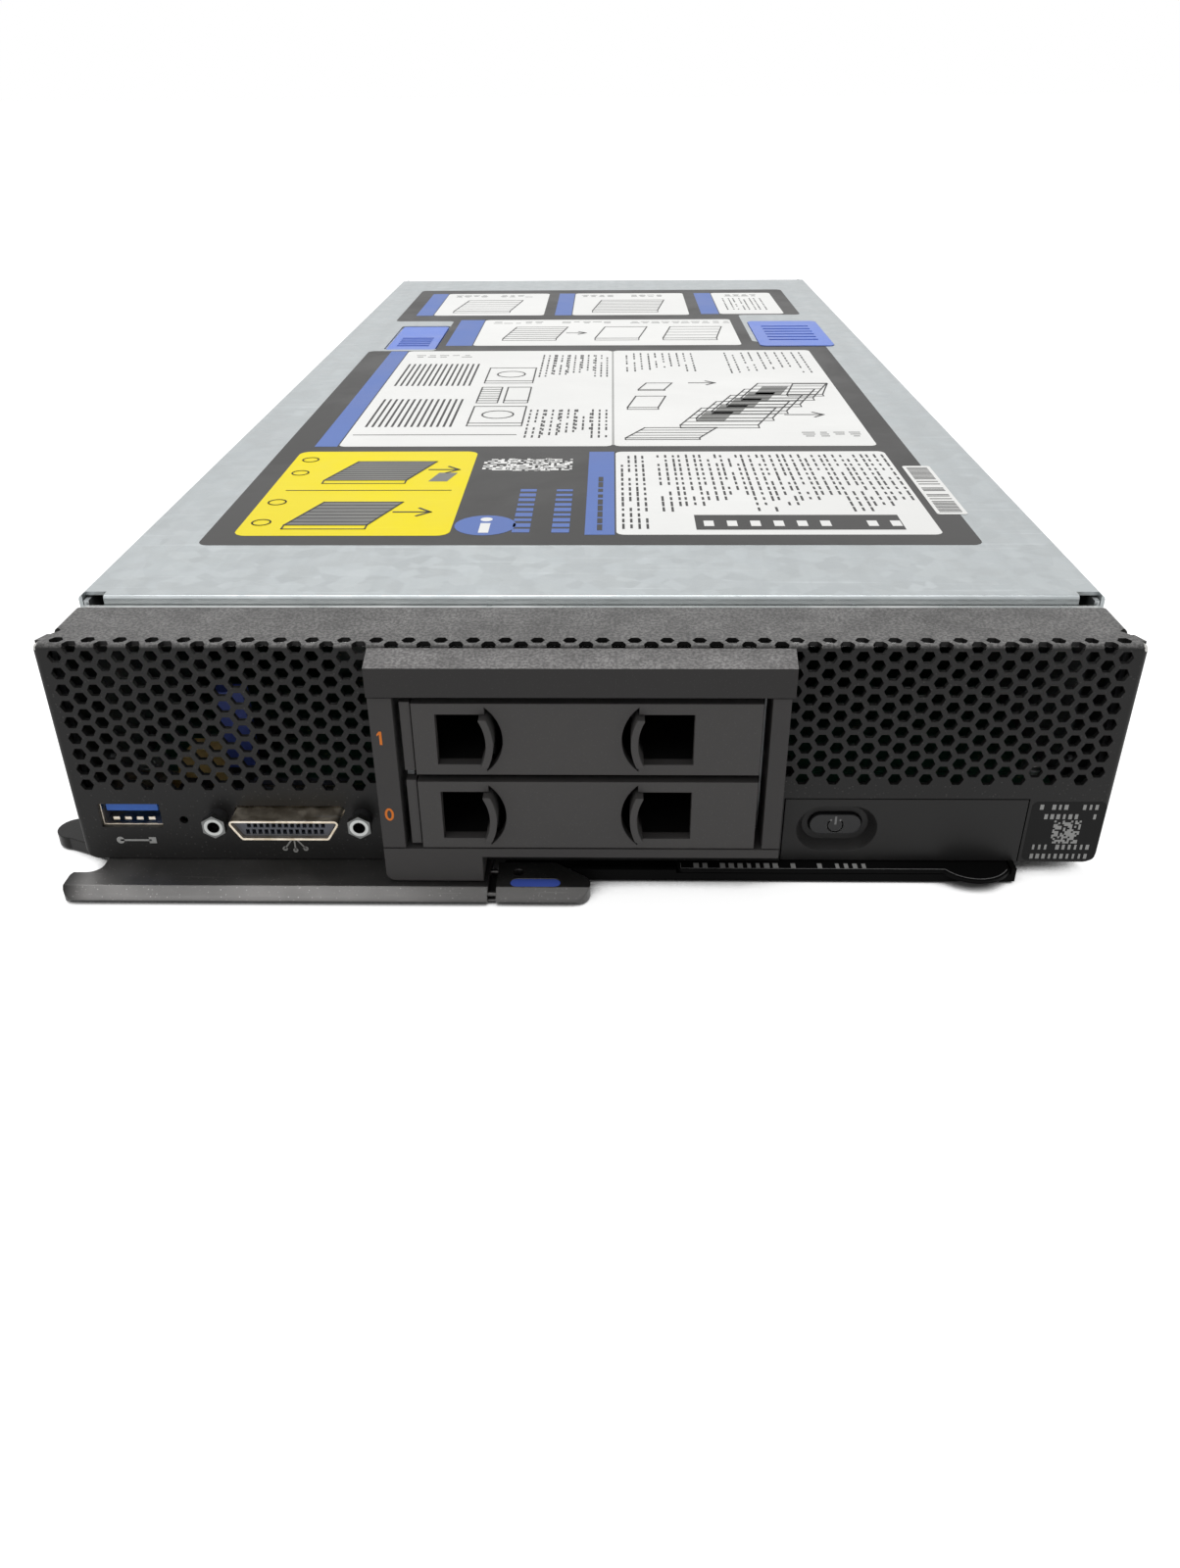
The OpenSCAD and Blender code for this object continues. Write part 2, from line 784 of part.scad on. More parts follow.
// Small board behind the panel with the switch that the button presses.
module button_board() {
    switch_y = bowl_back + 2 * move_gap + 0.8 + button_travel;
    color(board_green) span(button_board_x,
        [button_board_y, button_board_y + board_t], button_board_z);
    color(socket_black) {
        span([bowl_x - switch_half, bowl_x + switch_half], [switch_y + plunger_len, button_board_y],
            [bowl_z - switch_half, bowl_z + switch_half]);
        from_front(switch_y, plunger_len + eps) translate([bowl_x, bowl_z]) circle(plunger_r);
    }
}

// ---- Ports ----

module reset_switch() {
    color(socket_black) {
        span([pin_hole_x - switch_half, pin_hole_x + switch_half], reset_y,
            [board_top, board_top + reset_h]);
        from_front(reset_stem_y, reset_y[0] - reset_stem_y + eps)
            translate([pin_hole_x, pin_hole_z]) circle(reset_stem_r);
    }
}

module usb_shell() {
    color(port_tin) difference() {
        span([usb_x - usb_w / 2, usb_x + usb_w / 2], [usb_set, usb_d],
            [usb_z - usb_h / 2, usb_z + usb_h / 2]);
        span([usb_x - usb_w / 2 + usb_wall, usb_x + usb_w / 2 - usb_wall], [-1, usb_d - 1],
            [usb_z - usb_h / 2 + usb_wall, usb_z + usb_h / 2 - usb_wall]);
    }
}

module usb_tongue() {
    tongue_w = usb_w - 2;
    top = usb_z + usb_h / 2 - 0.7;
    color(touch_blue) {
        span([usb_x - tongue_w / 2, usb_x + tongue_w / 2], [usb_set + 0.8, tongue_y1],
            [top - tongue_t, top]);
        span([usb_x - tongue_w / 2, usb_x + tongue_w / 2], [tongue_y1 - eps, usb_d - 1.1],
            [usb_z - usb_h / 2 + 0.5, top]);
    }
}

// D shape of the console port, wider at the top, grown all round by g.
module console_outline(g) {
    r = console_corner + g;
    h = console_h / 2 - console_corner;
    top = console_w / 2 - console_corner;
    low = console_low_w / 2 - console_corner;
    slant = atan2(top - low, 2 * h);
    right = concat(arc_points(low, -h, r, -90, -slant), arc_points(top, h, r, -slant, 90));
    polygon(concat(right, [for (i = [len(right) - 1 : -1 : 0]) [-right[i][0], right[i][1]]]));
}

module console_shell() {
    color(port_tin) {
        difference() {
            from_front(-console_out, console_out + 9) translate([console_x, console_z])
                console_outline(0);
            from_front(-console_out - 1, console_out + 11) translate([console_x, console_z])
                console_outline(-0.45);
        }
        difference() {
            from_front(sheet + 0.1, 1.2) translate([console_x - ear_w / 2, console_z - 3.1])
                round_rect(ear_w, ear_h, 1.5);
            from_front(sheet, 2) translate([console_x, console_z]) console_outline(-0.4);
            for (side = [-1, 1]) from_front(sheet, 2)
                translate([console_x + side * jack_pitch / 2, jack_z]) circle(1.9);
        }
    }
}

module console_insert() {
    color(cast_grey) difference() {
        from_front(1 - console_out, console_out + 12) translate([console_x, console_z])
            console_outline(-0.5);
        for (row = [0, 1], i = [0 : contact_count - 1]) {
            x = console_x + (i - (contact_count - 1) / 2) * contact_pitch + (row - 0.5) * 0.4;
            span([x - slot_w / 2, x + slot_w / 2], [-console_out, 4],
                [console_z - 1.4 + row * 1.6, console_z - 1.4 + row * 1.6 + slot_h]);
        }
    }
}

module jack_post() {
    flat_r = jack_af / sqrt(3);
    rotate([-90, 0, 0]) difference() {
        union() {
            translate([0, 0, -jack_out]) rotate([0, 0, 30]) cylinder(r = flat_r, h = jack_head, $fn = 6);
            translate([0, 0, jack_head - jack_out - eps])
                cylinder(r = jack_neck_r, h = jack_out - jack_head + eps);
            translate([0, 0, -eps]) cylinder(r = 1.8, h = 5);
        }
        translate([0, 0, -jack_out - eps]) cylinder(r = jack_hole_r, h = 7);
    }
}

module jack_posts() {
    color(port_tin) for (side = [-1, 1])
        translate([console_x + side * jack_pitch / 2, 0, jack_z]) jack_post();
}

// ---- Pull-out label ----

module label_tray() {
    x0 = tray_x[0];
    x1 = tray_x[1];
    color(steel_black) {
        span([x0, x1], [tray_short_y, tray_y1], [tray_z, tray_z + tray_t]);
        span([tray_front_x, x1], [tray_y0, tray_short_y + eps], [tray_z, tray_z + tray_t]);
        span([tray_front_x, x1 - tray_wall], [tray_y0, tray_y0 + 1], [tray_z, tab_top - tab_t - move_gap]);
        span([tray_front_x, tab_x[0] - move_gap], [tray_y0, tray_y0 + 1], [tray_z, -0.4]);
        span([x0, tray_front_x + 1], [tray_short_y, tray_short_y + 1], [tray_z, 0]);
        span([x1 - tray_wall, x1], [tray_y0, tray_y1], [tray_z, raised_z]);
        span([x0, x0 + tray_wall], [tray_short_y, tray_y1], [tray_z, raised_z]);
        span([x0, x1], [tray_y1 - tray_wall, tray_y1], [tray_z, raised_z]);
        for (x = [tab_x[0] + 6, 50, tab_x[1] - 6]) span([x - 1, x + 1], [4, tray_y1 - 2],
            [tray_z, tab_top - tab_t - move_gap]);
    }
}

module label_tab() {
    color(steel_black) translate([0, 0, tab_top - tab_t]) linear_extrude(tab_t) {
        translate([tab_x[0], tab_front]) round_rect(tab_x[1] - tab_x[0] - 1, tab_d, 1.5);
        intersection() {
            translate([thumb_x, thumb_y]) circle(thumb_r);
            translate([thumb_x - 7, thumb_y - thumb_r]) square([14, thumb_r]);
        }
    }
}

// ---- Cam lever and its sliding latch ----

// Cross-section of the grip bar, with its upper front edge broken.
module bar_profile(front, back) {
    polygon([[-front + 0.6, 0], [-front, 0.8], [-front + 0.4, lever_t - 1.4],
        [-front + 2.4, lever_t], [back, lever_t], [back, 0]]);
}

module lever_plan() {
    bar_r = 3;
    translate([web_x0, bar_back - 1]) square([lever_x1 - web_x0, 4.5 - bar_back]);
    polygon([[web_x0, 0], [-60, 3.4], [-80, 11], [pivot_x + 4, pivot_y + boss_r - 1],
        [pivot_x, pivot_y + boss_r], [nose_x + nose_r, pivot_y + nose_r],
        [nose_x + nose_r, pivot_y - nose_r], [web_x0, pivot_y - boss_r]]);
    translate([pivot_x, pivot_y]) circle(boss_r);
    translate([nose_x + nose_r, pivot_y]) circle(nose_r);
    difference() {
        translate([web_x0 - bar_r, bar_back - eps]) square(bar_r);
        translate([web_x0 - bar_r, bar_back + bar_r]) circle(bar_r);
    }
}

module lever_arm() {
    color(cast_grey) difference() {
        translate([0, 0, lever_z]) union() {
            intersection() {
                from_side(lever_x0, lever_x1 - lever_x0) bar_profile(lever_out, bar_back);
                translate([lever_x0, -lever_out]) linear_extrude(lever_t)
                    round_rect(lever_x1 - lever_x0 + 4, lever_out - 4, 2.5);
            }
            linear_extrude(lever_t) lever_plan();
            span([lever_x1 - 1, ledge_x1], [ledge_y0, -1.4], [0, ledge_t]);
        }
        translate([pivot_x, pivot_y, lever_z - eps]) cylinder(r = pivot_r + pin_clear, h = 4);
        translate([pivot_x, pivot_y, lever_z - eps]) cylinder(r = pivot_r + 2.3, h = 1);
        for (y = guide_ys) translate([guide_x[0], y, guide_z]) rotate([0, 90, 0])
            cylinder(r = guide_r, h = 10);
    }
}

module lever_pivot_pin() {
    color(galvanized) translate([pivot_x, pivot_y, 0]) {
        translate([0, 0, lever_z + 0.2]) cylinder(r = pivot_r + 1.9, h = 0.6);
        translate([0, 0, lever_z + 0.7]) cylinder(r = pivot_r, h = raised_z + sheet - lever_z - 0.7);
        translate([0, 0, raised_z + sheet]) cylinder(r = pivot_r + 1.5, h = 0.8);
    }
}

// Plan of the latch: straight behind, cut away to the right and round at its tip.
module latch_plan() {
    polygon(concat([[latch_x0, -latch_front], [latch_x0, -0.8], [-6.9, -0.8]],
        arc_points(tip_x, tip_r - latch_front, tip_r, 52, -90, 10)));
}

module lever_latch() {
    color(cast_grey) difference() {
        intersection() {
            translate([0, 0, lever_z]) linear_extrude(lever_t) latch_plan();
            translate([0, 0, lever_z]) from_side(latch_x0 - 1, 24) bar_profile(latch_front, 3);
        }
        translate([-14.4, -4.4, lever_z - eps]) cylinder(r = 1.15, h = 4);
        translate([-10.7, -8.1, lever_z + lever_t - 0.8]) linear_extrude(1) stadium(10.4, 2.8);
        span([latch_x0 - 1, ledge_x1 + latch_travel + move_gap], [ledge_y0 - move_gap, 0],
            [lever_z - eps, lever_z + ledge_t + move_gap]);
        for (y = guide_ys) translate([latch_x0 - 1, y, guide_z]) rotate([0, 90, 0])
            cylinder(r = guide_r + pin_clear, h = guide_x[1] - latch_x0 + latch_travel + 1 + move_gap);
    }
}

module latch_pad() {
    color(touch_blue) translate([-10.7, -8.1, lever_z + lever_t - 0.8]) linear_extrude(0.75)
        stadium(10.3, 2.7);
}

module latch_guide_pins() {
    color(galvanized) for (y = guide_ys) translate([guide_x[0], y, guide_z]) rotate([0, 90, 0])
        cylinder(r = guide_r, h = guide_x[1] - guide_x[0]);
}

// ---- Sliding cover ----

// Section of the cover: flat top with both edges folded down.
module cover_section() {
    half = cover_w / 2;
    r = 1.2;
    difference() {
        translate([-half, cover_top - flange_h - r]) round_rect(cover_w, flange_h + r, r);
        translate([cover_t - half, cover_top - flange_h - 2 * r])
            square([cover_w - 2 * cover_t, flange_h + 2 * r - cover_t]);
        translate([-half, cover_top - flange_h - 2 * r]) square([cover_w, 2 * r]);
    }
}

module cover_cutouts() {
    translate([release_x, release_y]) round_rect(release_w, release_d, 2);
    translate([pad_x, pad_y]) round_rect(pad_w, pad_d, 3);
}

module top_cover() {
    flange_in = cover_w / 2 - cover_t;
    color(galvanized) {
        difference() {
            from_front(cover_y0 + 0.6, cover_y1 - cover_y0 - 0.6) cover_section();
            translate([0, 0, cover_z - 1]) linear_extrude(3) cover_cutouts();
            for (side = [0, 1]) mirror([side, 0, 0])
                span([hem_half, flange_in], [cover_y0, cover_y0 + 2.4], [cover_z - 1, cover_top + 1]);
        }
        for (y = [cover_y0 + hem_r, cover_y1 - hem_r])
            translate([-hem_half, y, cover_top - hem_r]) rotate([0, 90, 0])
                cylinder(r = hem_r, h = 2 * hem_half);
        span([-hem_half, hem_half], [cover_y0, cover_y0 + cover_t],
            [cover_top - hem_drop, cover_top - hem_r]);
        for (side = [0, 1], y = tab_ys) mirror([side, 0, 0])
            span([wall_x - sheet - 0.4, flange_in + eps], [y, y + tab_len], [tab_z, tab_z + tab_h]);
    }
}

// Fixed housing under the cover that carries the sprung release.
module cover_catch() {
    x0 = release_x - 3;
    color(plastic_black) difference() {
        span([x0, x0 + release_w + 6], [release_y - 3, release_y + release_d + 3],
            [cover_z - 4.5, cover_z]);
        translate([release_x + 0.4, release_y + 0.4, cover_z - 3.7]) linear_extrude(6)
            round_rect(release_w - 0.8, release_d - 0.8, 2);
    }
}

// Blue release button that is pressed to let the cover slide.
module cover_release() {
    color(touch_blue) difference() {
        translate([release_x + 0.8, release_y + 0.8, cover_z - 1.2])
            linear_extrude(cover_top - cover_z + 1) round_rect(release_w - 1.6, release_d - 1.6, 1.6);
        for (i = [0 : 4]) span([release_x + 4, release_x + release_w - 4],
            [release_y + 8 + i * 4, release_y + 10 + i * 4], [cover_top - 0.6, cover_top + 1]);
    }
}

// Fixed blue pad that shows where to push the cover.
module cover_pad() {
    color(touch_blue) {
        difference() {
            translate([pad_x + 0.2, pad_y + 0.2, cover_z]) linear_extrude(cover_t + 0.3)
                round_rect(pad_w - 0.4, pad_d - 0.4, 2.8);
            for (i = [0 : 5]) span([pad_x + 5, pad_x + pad_w - 5],
                [pad_y + 12 + i * 6, pad_y + 14 + i * 6], [cover_top - 0.2, cover_top + 1]);
        }
        translate([pad_x - 2, pad_y - 2, cover_z - 0.8]) linear_extrude(0.8)
            round_rect(pad_w + 4, pad_d + 4, 3);
    }
}

// ---- Boards and what they carry ----

module system_board() {
    color(board_green) difference() {
        span([-board_x, board_x], board_y, [board_z, board_top]);
        span(cage_notch_x, [board_y[0] - 1, cage_notch_y], [board_z - 1, board_top + 1]);
        span([button_board_x[0] - 4, button_board_x[1] + 4], [board_y[0] - 1, button_notch_y],
            [board_z - 1, board_top + 1]);
        for (p = post_places) translate([p[0], p[1], board_z - 1]) cylinder(r = 1.7, h = 4);
    }
}

module board_standoffs() {
    color(galvanized) for (p = post_places) {
        base_z = p[1] < raise_d ? raised_z + sheet : floor_z + sheet;
        translate([p[0], p[1], base_z]) cylinder(r = 3, h = board_z - base_z);
    }
}

module board_screws() {
    color(galvanized) for (p = post_places) translate([p[0], p[1], board_top]) difference() {
        union() {
            cylinder(r = 2.8, h = 1.8);
            translate([0, 0, -board_t]) cylinder(r = screw_r, h = board_t + eps);
        }
        translate([0, 0, 0.8]) cylinder(r = 1.2, h = 2, $fn = 6);
    }
}

module drive_backplane() {
    color(board_green) difference() {
        span([cage_x[0] - 2, cage_x[1] + 2], [cage_y1, cage_y1 + board_t],
            [board_top + 0.5, cage_z[1] + 2]);
        for (x = [-22, 22], z = [16, 34]) from_front(cage_y1 - 1, 6) translate([x, z])
            stadium(16, 7);
    }
}

module drive_connectors() {
    color(socket_black) for (z = [lower_face_z + 3, lower_face_z + bay_pitch + 3]) difference() {
        span([-16, 16], [cage_y1 - 8, cage_y1], [z - 2.2, z + 2.6]);
        span([-14.4, 14.4], [cage_y1 - 9, cage_y1 - 3], [z - 0.8, z + 0.9]);
    }
}

// Processor socket: frame, lid of the processor and its load lever.
module cpu_socket(y) {
    color(galvanized) {
        difference() {
            span([-29, 29], [y - 32, y + 32], [board_top, board_top + 3.4]);
            span([-23, 23], [y - 25, y + 25], [board_top + 2, board_top + 4]);
        }
        span([-19, 19], [y - 19, y + 19], [board_top + 2, board_top + 5]);
        for (side = [-1, 1]) translate([side * 31, y + 30, board_top + 1.2]) rotate([90, 0, 0])
            cylinder(r = 0.9, h = 60);
        for (side = [-1, 1]) span([side * 30 - 2, side * 30 + 2], [y + 27, y + 31],
            [board_top, board_top + 3]);
    }
}

module cpu_socket_front() {
    cpu_socket(cpu_ys[0]);
}

module cpu_socket_rear() {
    cpu_socket(cpu_ys[1]);
}

// Heat sink: base plate and thin upright fins along the air's path.
module heat_sink(y) {
    base_z = board_top + sink_gap;
    step = (sink_w - fin_t) / (fin_count - 1);
    color(alloy) difference() {
        union() {
            span([-sink_w / 2, sink_w / 2], [y - sink_d / 2, y + sink_d / 2],
                [base_z, base_z + sink_base_t]);
            for (i = [0 : fin_count - 1]) {
                x = i * step - sink_w / 2;
                span([x, x + fin_t], [y - sink_d / 2, y + sink_d / 2],
                    [base_z + sink_base_t - eps, sink_top]);
            }
        }
        for (side = [-1, 1], end = [-1, 1])
            translate([side * sink_screw, y + end * sink_screw, base_z - 1])
                cylinder(r = sink_boss_r, h = 60);
    }
    color(galvanized) for (side = [-1, 1], end = [-1, 1])
        translate([side * sink_screw, y + end * sink_screw, base_z]) difference() {
            cylinder(r = sink_boss_r + eps, h = 3);
            translate([0, 0, -1]) cylinder(r = 2.2, h = 6);
        }
}

module heat_sink_front() {
    heat_sink(cpu_ys[0]);
}

module heat_sink_rear() {
    heat_sink(cpu_ys[1]);
}

module sink_screws() {
    color(galvanized) for (y = cpu_ys, side = [-1, 1], end = [-1, 1])
        translate([side * sink_screw, y + end * sink_screw, board_top]) {
            cylinder(r = 2.1, h = 9);
            translate([0, 0, 8]) cylinder(r = 3.8, h = 6);
        }
}

// Across the board, the place of the first and each next memory socket.
function dimm_place(i) = dimm_x + i * dimm_pitch;

module dimm_socket(x, y) {
    difference() {
        span([x - socket_w / 2, x + socket_w / 2], [y - 70, y + 70], [board_top, board_top + socket_h]);
        span([x - 0.9, x + 0.9], [y - 67, y + 67], [board_top + 2.5, board_top + 9]);
    }
    for (end = [-1, 1]) difference() {
        span([x - socket_w / 2, x + socket_w / 2], [y + end * 68 - 2, y + end * 68 + 2],
            [board_top + socket_h - eps, board_top + 20]);
        span([x - 0.9, x + 0.9], [y + end * 67 - 1, y + end * 67 + 1], [board_top, board_top + 21]);
    }
}

module dimm_sockets() {
    color(socket_black) for (y = cpu_ys, i = [0 : dimm_count - 1]) dimm_socket(dimm_place(i), y);
}

module dimm_sockets_right() {
    dimm_sockets();
}

module dimm_sockets_left() {
    mirror([1, 0, 0]) dimm_sockets();
}

module dimm(x, y) {
    z0 = board_top + 2.6;
    color(board_green) difference() {
        span([x - 0.6, x + 0.6], [y - dimm_len / 2, y + dimm_len / 2], [z0, z0 + dimm_h]);
        span([x - 1, x + 1], [y + 4, y + 6.5], [z0 - 1, z0 + 3]);
    }
    color(socket_black) for (i = [-4 : 4], side = [-1, 1])
        span([x + side * 1.1 - 0.51, x + side * 1.1 + 0.51],
            [y + i * 13.6 - 5, y + i * 13.6 + 5], [z0 + 12, z0 + 24]);
}

module dimms_right() {
    for (y = cpu_ys, i = [0 : dimm_count - 1]) dimm(dimm_place(i), y);
}

module dimms_left() {
    mirror([1, 0, 0]) dimms_right();
}

// Moulded hood that leads the air over the heat sinks.
module air_baffle() {
    top = baffle_top;
    wall = baffle_half - baffle_t / 2;
    color(plastic_black) {
        span([-baffle_half, baffle_half], baffle_y, [top - baffle_t, top]);
        for (side = [-1, 1]) span([side * wall - baffle_t / 2, side * wall + baffle_t / 2],
            [140, baffle_y[1]], [board_top + 9, top - 1]);
        for (y = [150 : 50 : 390]) span([-47, 47], [y, y + baffle_t], [top - 2 * baffle_t, top - 1]);
        for (side = [-1, 1], y = cpu_ys) span([side * wall - baffle_t / 2, side * wall + baffle_t / 2],
            [y - 6, y + 6], [board_top, board_top + 10]);
    }
}

module power_coils() {
    color(cast_grey) for (y = [133, 141, 271.5], i = [-3 : 3])
        span([i * 9 - 3.5, i * 9 + 3.5], [y - 3, y + 3], [board_top, board_top + 4.2]);
}

module chipset_sink() {
    color(alloy) {
        span([-22, 22], [rear_y, rear_y + 34], [board_top, board_top + 4]);
        for (i = [0 : 10]) span([i * 4.2 - 21.6, i * 4.2 - 20.8], [rear_y, rear_y + 34],
            [board_top + 3, board_top + 18]);
    }
}

module coin_cell() {
    cell_at = [-62, 112, board_top];
    color(socket_black) translate(cell_at) difference() {
        translate([-12, -12, 0]) cube([24, 24, 4.6]);
        translate([0, 0, 1]) cylinder(r = 10.2, h = 5);
    }
    color(alloy) translate([cell_at[0], cell_at[1], cell_at[2] + 1]) cylinder(r = 10, h = 3.2);
}

// Blue touch point that shows behind the grille, with its gold-plated socket.
module touch_point() {
    color(touch_blue) span(touch_x, touch_y, touch_z);
    color(socket_black) span(touch_x, [touch_y[0], touch_base_y1], [board_top, touch_z[0] + eps]);
    color(gold) span([touch_gold_x0, touch_x[0] + eps], [touch_y[0], touch_gold_y1],
        [board_top, board_top + touch_gold_h]);
}

// Mezzanine card over the rear of the board.
module adapter(side) {
    x0 = side * card_x - card_half;
    z = board_top + card_gap;
    color(board_green) difference() {
        span([x0, x0 + 2 * card_half], [rear_y + 2, board_y[1]], [z, z + board_t]);
        for (x = [x0 + 5, x0 + 63]) translate([x, rear_y + 8, z - 1]) cylinder(r = 1.7, h = 4);
    }
    color(alloy) {
        span([x0 + 18, x0 + 46], [rear_y + 12, rear_y + 38], [z + board_t, z + board_t + 2]);
        for (i = [0 : 7]) span([x0 + 18.4 + i * 3.8, x0 + 19.2 + i * 3.8], [rear_y + 12, rear_y + 38],
            [z + board_t + 1, z + board_t + 10]);
    }
    color(socket_black) span([x0 + 14, x0 + 50], [rear_y + 42, rear_y + 50],
        [board_top, z + eps]);
}

module adapter_left() {
    adapter(-1);
}

module adapter_right() {
    adapter(1);
}

module adapter_posts() {
    color(galvanized) for (side = [-1, 1], x = [-29, 29])
        translate([side * card_x + x, rear_y + 8, board_top]) difference() {
            cylinder(r = 2.6, h = card_gap);
            translate([0, 0, 8]) cylinder(r = 1.3, h = 8);
        }
}

// Rear connectors that mate with the enclosure's midplane.
module power_connector() {
    color(socket_black) difference() {
        span([-14, 14], [rear_socket_y, body_d], [board_top, board_top + 17]);
        for (i = [-2 : 2]) span([i * 5 - 1.2, i * 5 + 1.2], [470, body_d + 1],
            [board_top + 3, board_top + 14]);
    }
}

module signal_connector() {
    color(socket_black) difference() {
        span([18, 29], [rear_socket_y, body_d - 1], [board_top, board_top + 15]);
        for (i = [0 : 2], j = [0 : 3]) span([20 + i * 2.8, 21.6 + i * 2.8], [474, body_d + 5],
            [board_top + 2 + j * 3.2, board_top + 3.6 + j * 3.2]);
    }
}

module fabric_connectors() {
    z = board_top + card_gap + board_t;
    color(socket_black) for (side = [-1, 1]) difference() {
        span([side * card_x - 22, side * card_x + 22], [460, body_d - 1], [z, z + 16]);
        for (i = [0 : 9]) span([side * card_x - 19.4 + i * 4, side * card_x - 17.4 + i * 4],
            [474, body_d + 5], [z + 2.5, z + 13.5]);
    }
}

// Rear wall, open where the connectors pass and for the air.
module rear_bulkhead() {
    top = 48.4;
    color(galvanized) difference() {
        span([-wall_x + sheet, wall_x - sheet], [body_d - 2.5, body_d - 1.5], [floor_z + sheet, top]);
        span([-15, 15], [body_d - 4, body_d], [board_top - 0.5, board_top + 18]);
        span([17, 30], [body_d - 4, body_d], [board_top - 0.5, board_top + 16]);
        for (side = [-1, 1]) span([side * card_x - 23, side * card_x + 23], [body_d - 4, body_d],
            [board_top + 15, board_top + 32.6]);
        for (side = [-1, 1]) from_front(body_d - 4, 4) translate([side * 92, guide_socket_z])
            circle(4.4);
        for (x = [-96 : 6 : 96], z = [42.5, 45.8]) from_front(body_d - 4, 4)
            translate([x, z]) stadium(4.4, 2.2);
    }
}

// Guide sockets that steer the rear connectors into line.
module guide_sockets() {
    color(alloy) for (side = [-1, 1]) translate([side * 92, 0, guide_socket_z]) {
        difference() {
            from_front(455, body_d - 455) circle(4.2);
            from_front(465, body_d) circle(2.6);
        }
        span([-4, 4], [455, 470], [board_top - guide_socket_z, -3]);
    }
}

// Countersunk screws through the bezel's side flanges into the pan.
module bezel_screws() {
    color(galvanized) for (side = [-1, 1], p = side_screws)
        translate([side * flange_x, p[0], p[1]]) rotate([0, -side * 90, 0]) {
            translate([0, 0, -0.5]) cylinder(r = 2.2, h = 0.5);
            translate([0, 0, -eps]) cylinder(r = side_screw_r, h = 3);
        }
}

module cage_screws() {
    color(galvanized) for (x = [cage_x[0] - 6, cage_x[1] + 6]) {
        translate([x, cage_y1 - 6, cage_z[0]]) cylinder(r = 2.6, h = 1.6);
        translate([x, cage_y1 - 6, floor_z + sheet]) cylinder(r = 2.4,
            h = cage_z[0] - sheet - floor_z - sheet);
    }
}

at_datum() base_pan();
at_datum() front_bezel();
at_datum() front_rail();
at_datum() bay_surround();
at_datum() drive_cage();
at_datum() filler_upper();
at_datum() filler_lower();
at_datum() finger_tab_upper_left();
at_datum() finger_tab_upper_right();
at_datum() finger_tab_lower_left();
at_datum() finger_tab_lower_right();
at_datum() power_panel();
at_datum() power_button();
at_datum() button_board();
at_datum() reset_switch();
at_datum() usb_shell();
at_datum() usb_tongue();
at_datum() console_shell();
at_datum() console_insert();
at_datum() jack_posts();
at_datum() label_tray();
at_datum() label_tab();
at_datum() lever_arm();
at_datum() lever_pivot_pin();
at_datum() lever_latch();
at_datum() latch_pad();
at_datum() latch_guide_pins();
at_datum() top_cover();
at_datum() cover_catch();
at_datum() cover_release();
at_datum() cover_pad();
at_datum() system_board();
at_datum() board_standoffs();
at_datum() board_screws();
at_datum() drive_backplane();
at_datum() drive_connectors();
at_datum() cpu_socket_front();
at_datum() cpu_socket_rear();
at_datum() heat_sink_front();
at_datum() heat_sink_rear();
at_datum() sink_screws();
at_datum() dimm_sockets_left();
at_datum() dimm_sockets_right();
at_datum() dimms_left();
at_datum() dimms_right();
at_datum() air_baffle();
at_datum() power_coils();
at_datum() chipset_sink();
at_datum() coin_cell();
at_datum() touch_point();
at_datum() adapter_left();
at_datum() adapter_right();
at_datum() adapter_posts();
at_datum() power_connector();
at_datum() signal_connector();
at_datum() fabric_connectors();
at_datum() rear_bulkhead();
at_datum() guide_sockets();
at_datum() bezel_screws();
at_datum() cage_screws();
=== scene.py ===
# %% [markdown]
# # A half-wide blade server, dressed for a render
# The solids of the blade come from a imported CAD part. They already have the right shape and place,
# so this file only gives them finishes, prints, marks and a few thin bits of trim. It loads the
# solids first, because every later piece takes its place from them.

# %% Load the solids
import math

import bmesh
import bpy
from mathutils import Matrix, Vector


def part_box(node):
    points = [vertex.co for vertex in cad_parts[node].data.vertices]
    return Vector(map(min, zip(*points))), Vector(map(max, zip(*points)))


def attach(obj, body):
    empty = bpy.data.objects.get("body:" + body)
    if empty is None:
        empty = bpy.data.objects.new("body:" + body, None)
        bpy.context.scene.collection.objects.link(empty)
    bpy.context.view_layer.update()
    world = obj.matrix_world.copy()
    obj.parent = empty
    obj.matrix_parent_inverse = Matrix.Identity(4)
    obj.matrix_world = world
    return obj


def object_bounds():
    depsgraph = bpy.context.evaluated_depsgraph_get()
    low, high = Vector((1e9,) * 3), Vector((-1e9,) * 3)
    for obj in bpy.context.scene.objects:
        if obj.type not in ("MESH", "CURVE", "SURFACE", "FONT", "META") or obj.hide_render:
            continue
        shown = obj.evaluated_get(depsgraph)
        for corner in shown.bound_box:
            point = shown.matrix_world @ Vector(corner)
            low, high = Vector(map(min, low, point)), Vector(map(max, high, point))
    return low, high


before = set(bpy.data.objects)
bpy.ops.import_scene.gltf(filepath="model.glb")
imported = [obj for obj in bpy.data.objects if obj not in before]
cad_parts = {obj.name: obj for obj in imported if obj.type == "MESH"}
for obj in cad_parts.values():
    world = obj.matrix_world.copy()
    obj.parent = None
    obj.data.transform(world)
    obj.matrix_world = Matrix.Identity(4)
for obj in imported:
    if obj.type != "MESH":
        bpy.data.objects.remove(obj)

cad_box = [list(corner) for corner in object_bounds()]
print("nodes:", len(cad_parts), "box:", cad_box)

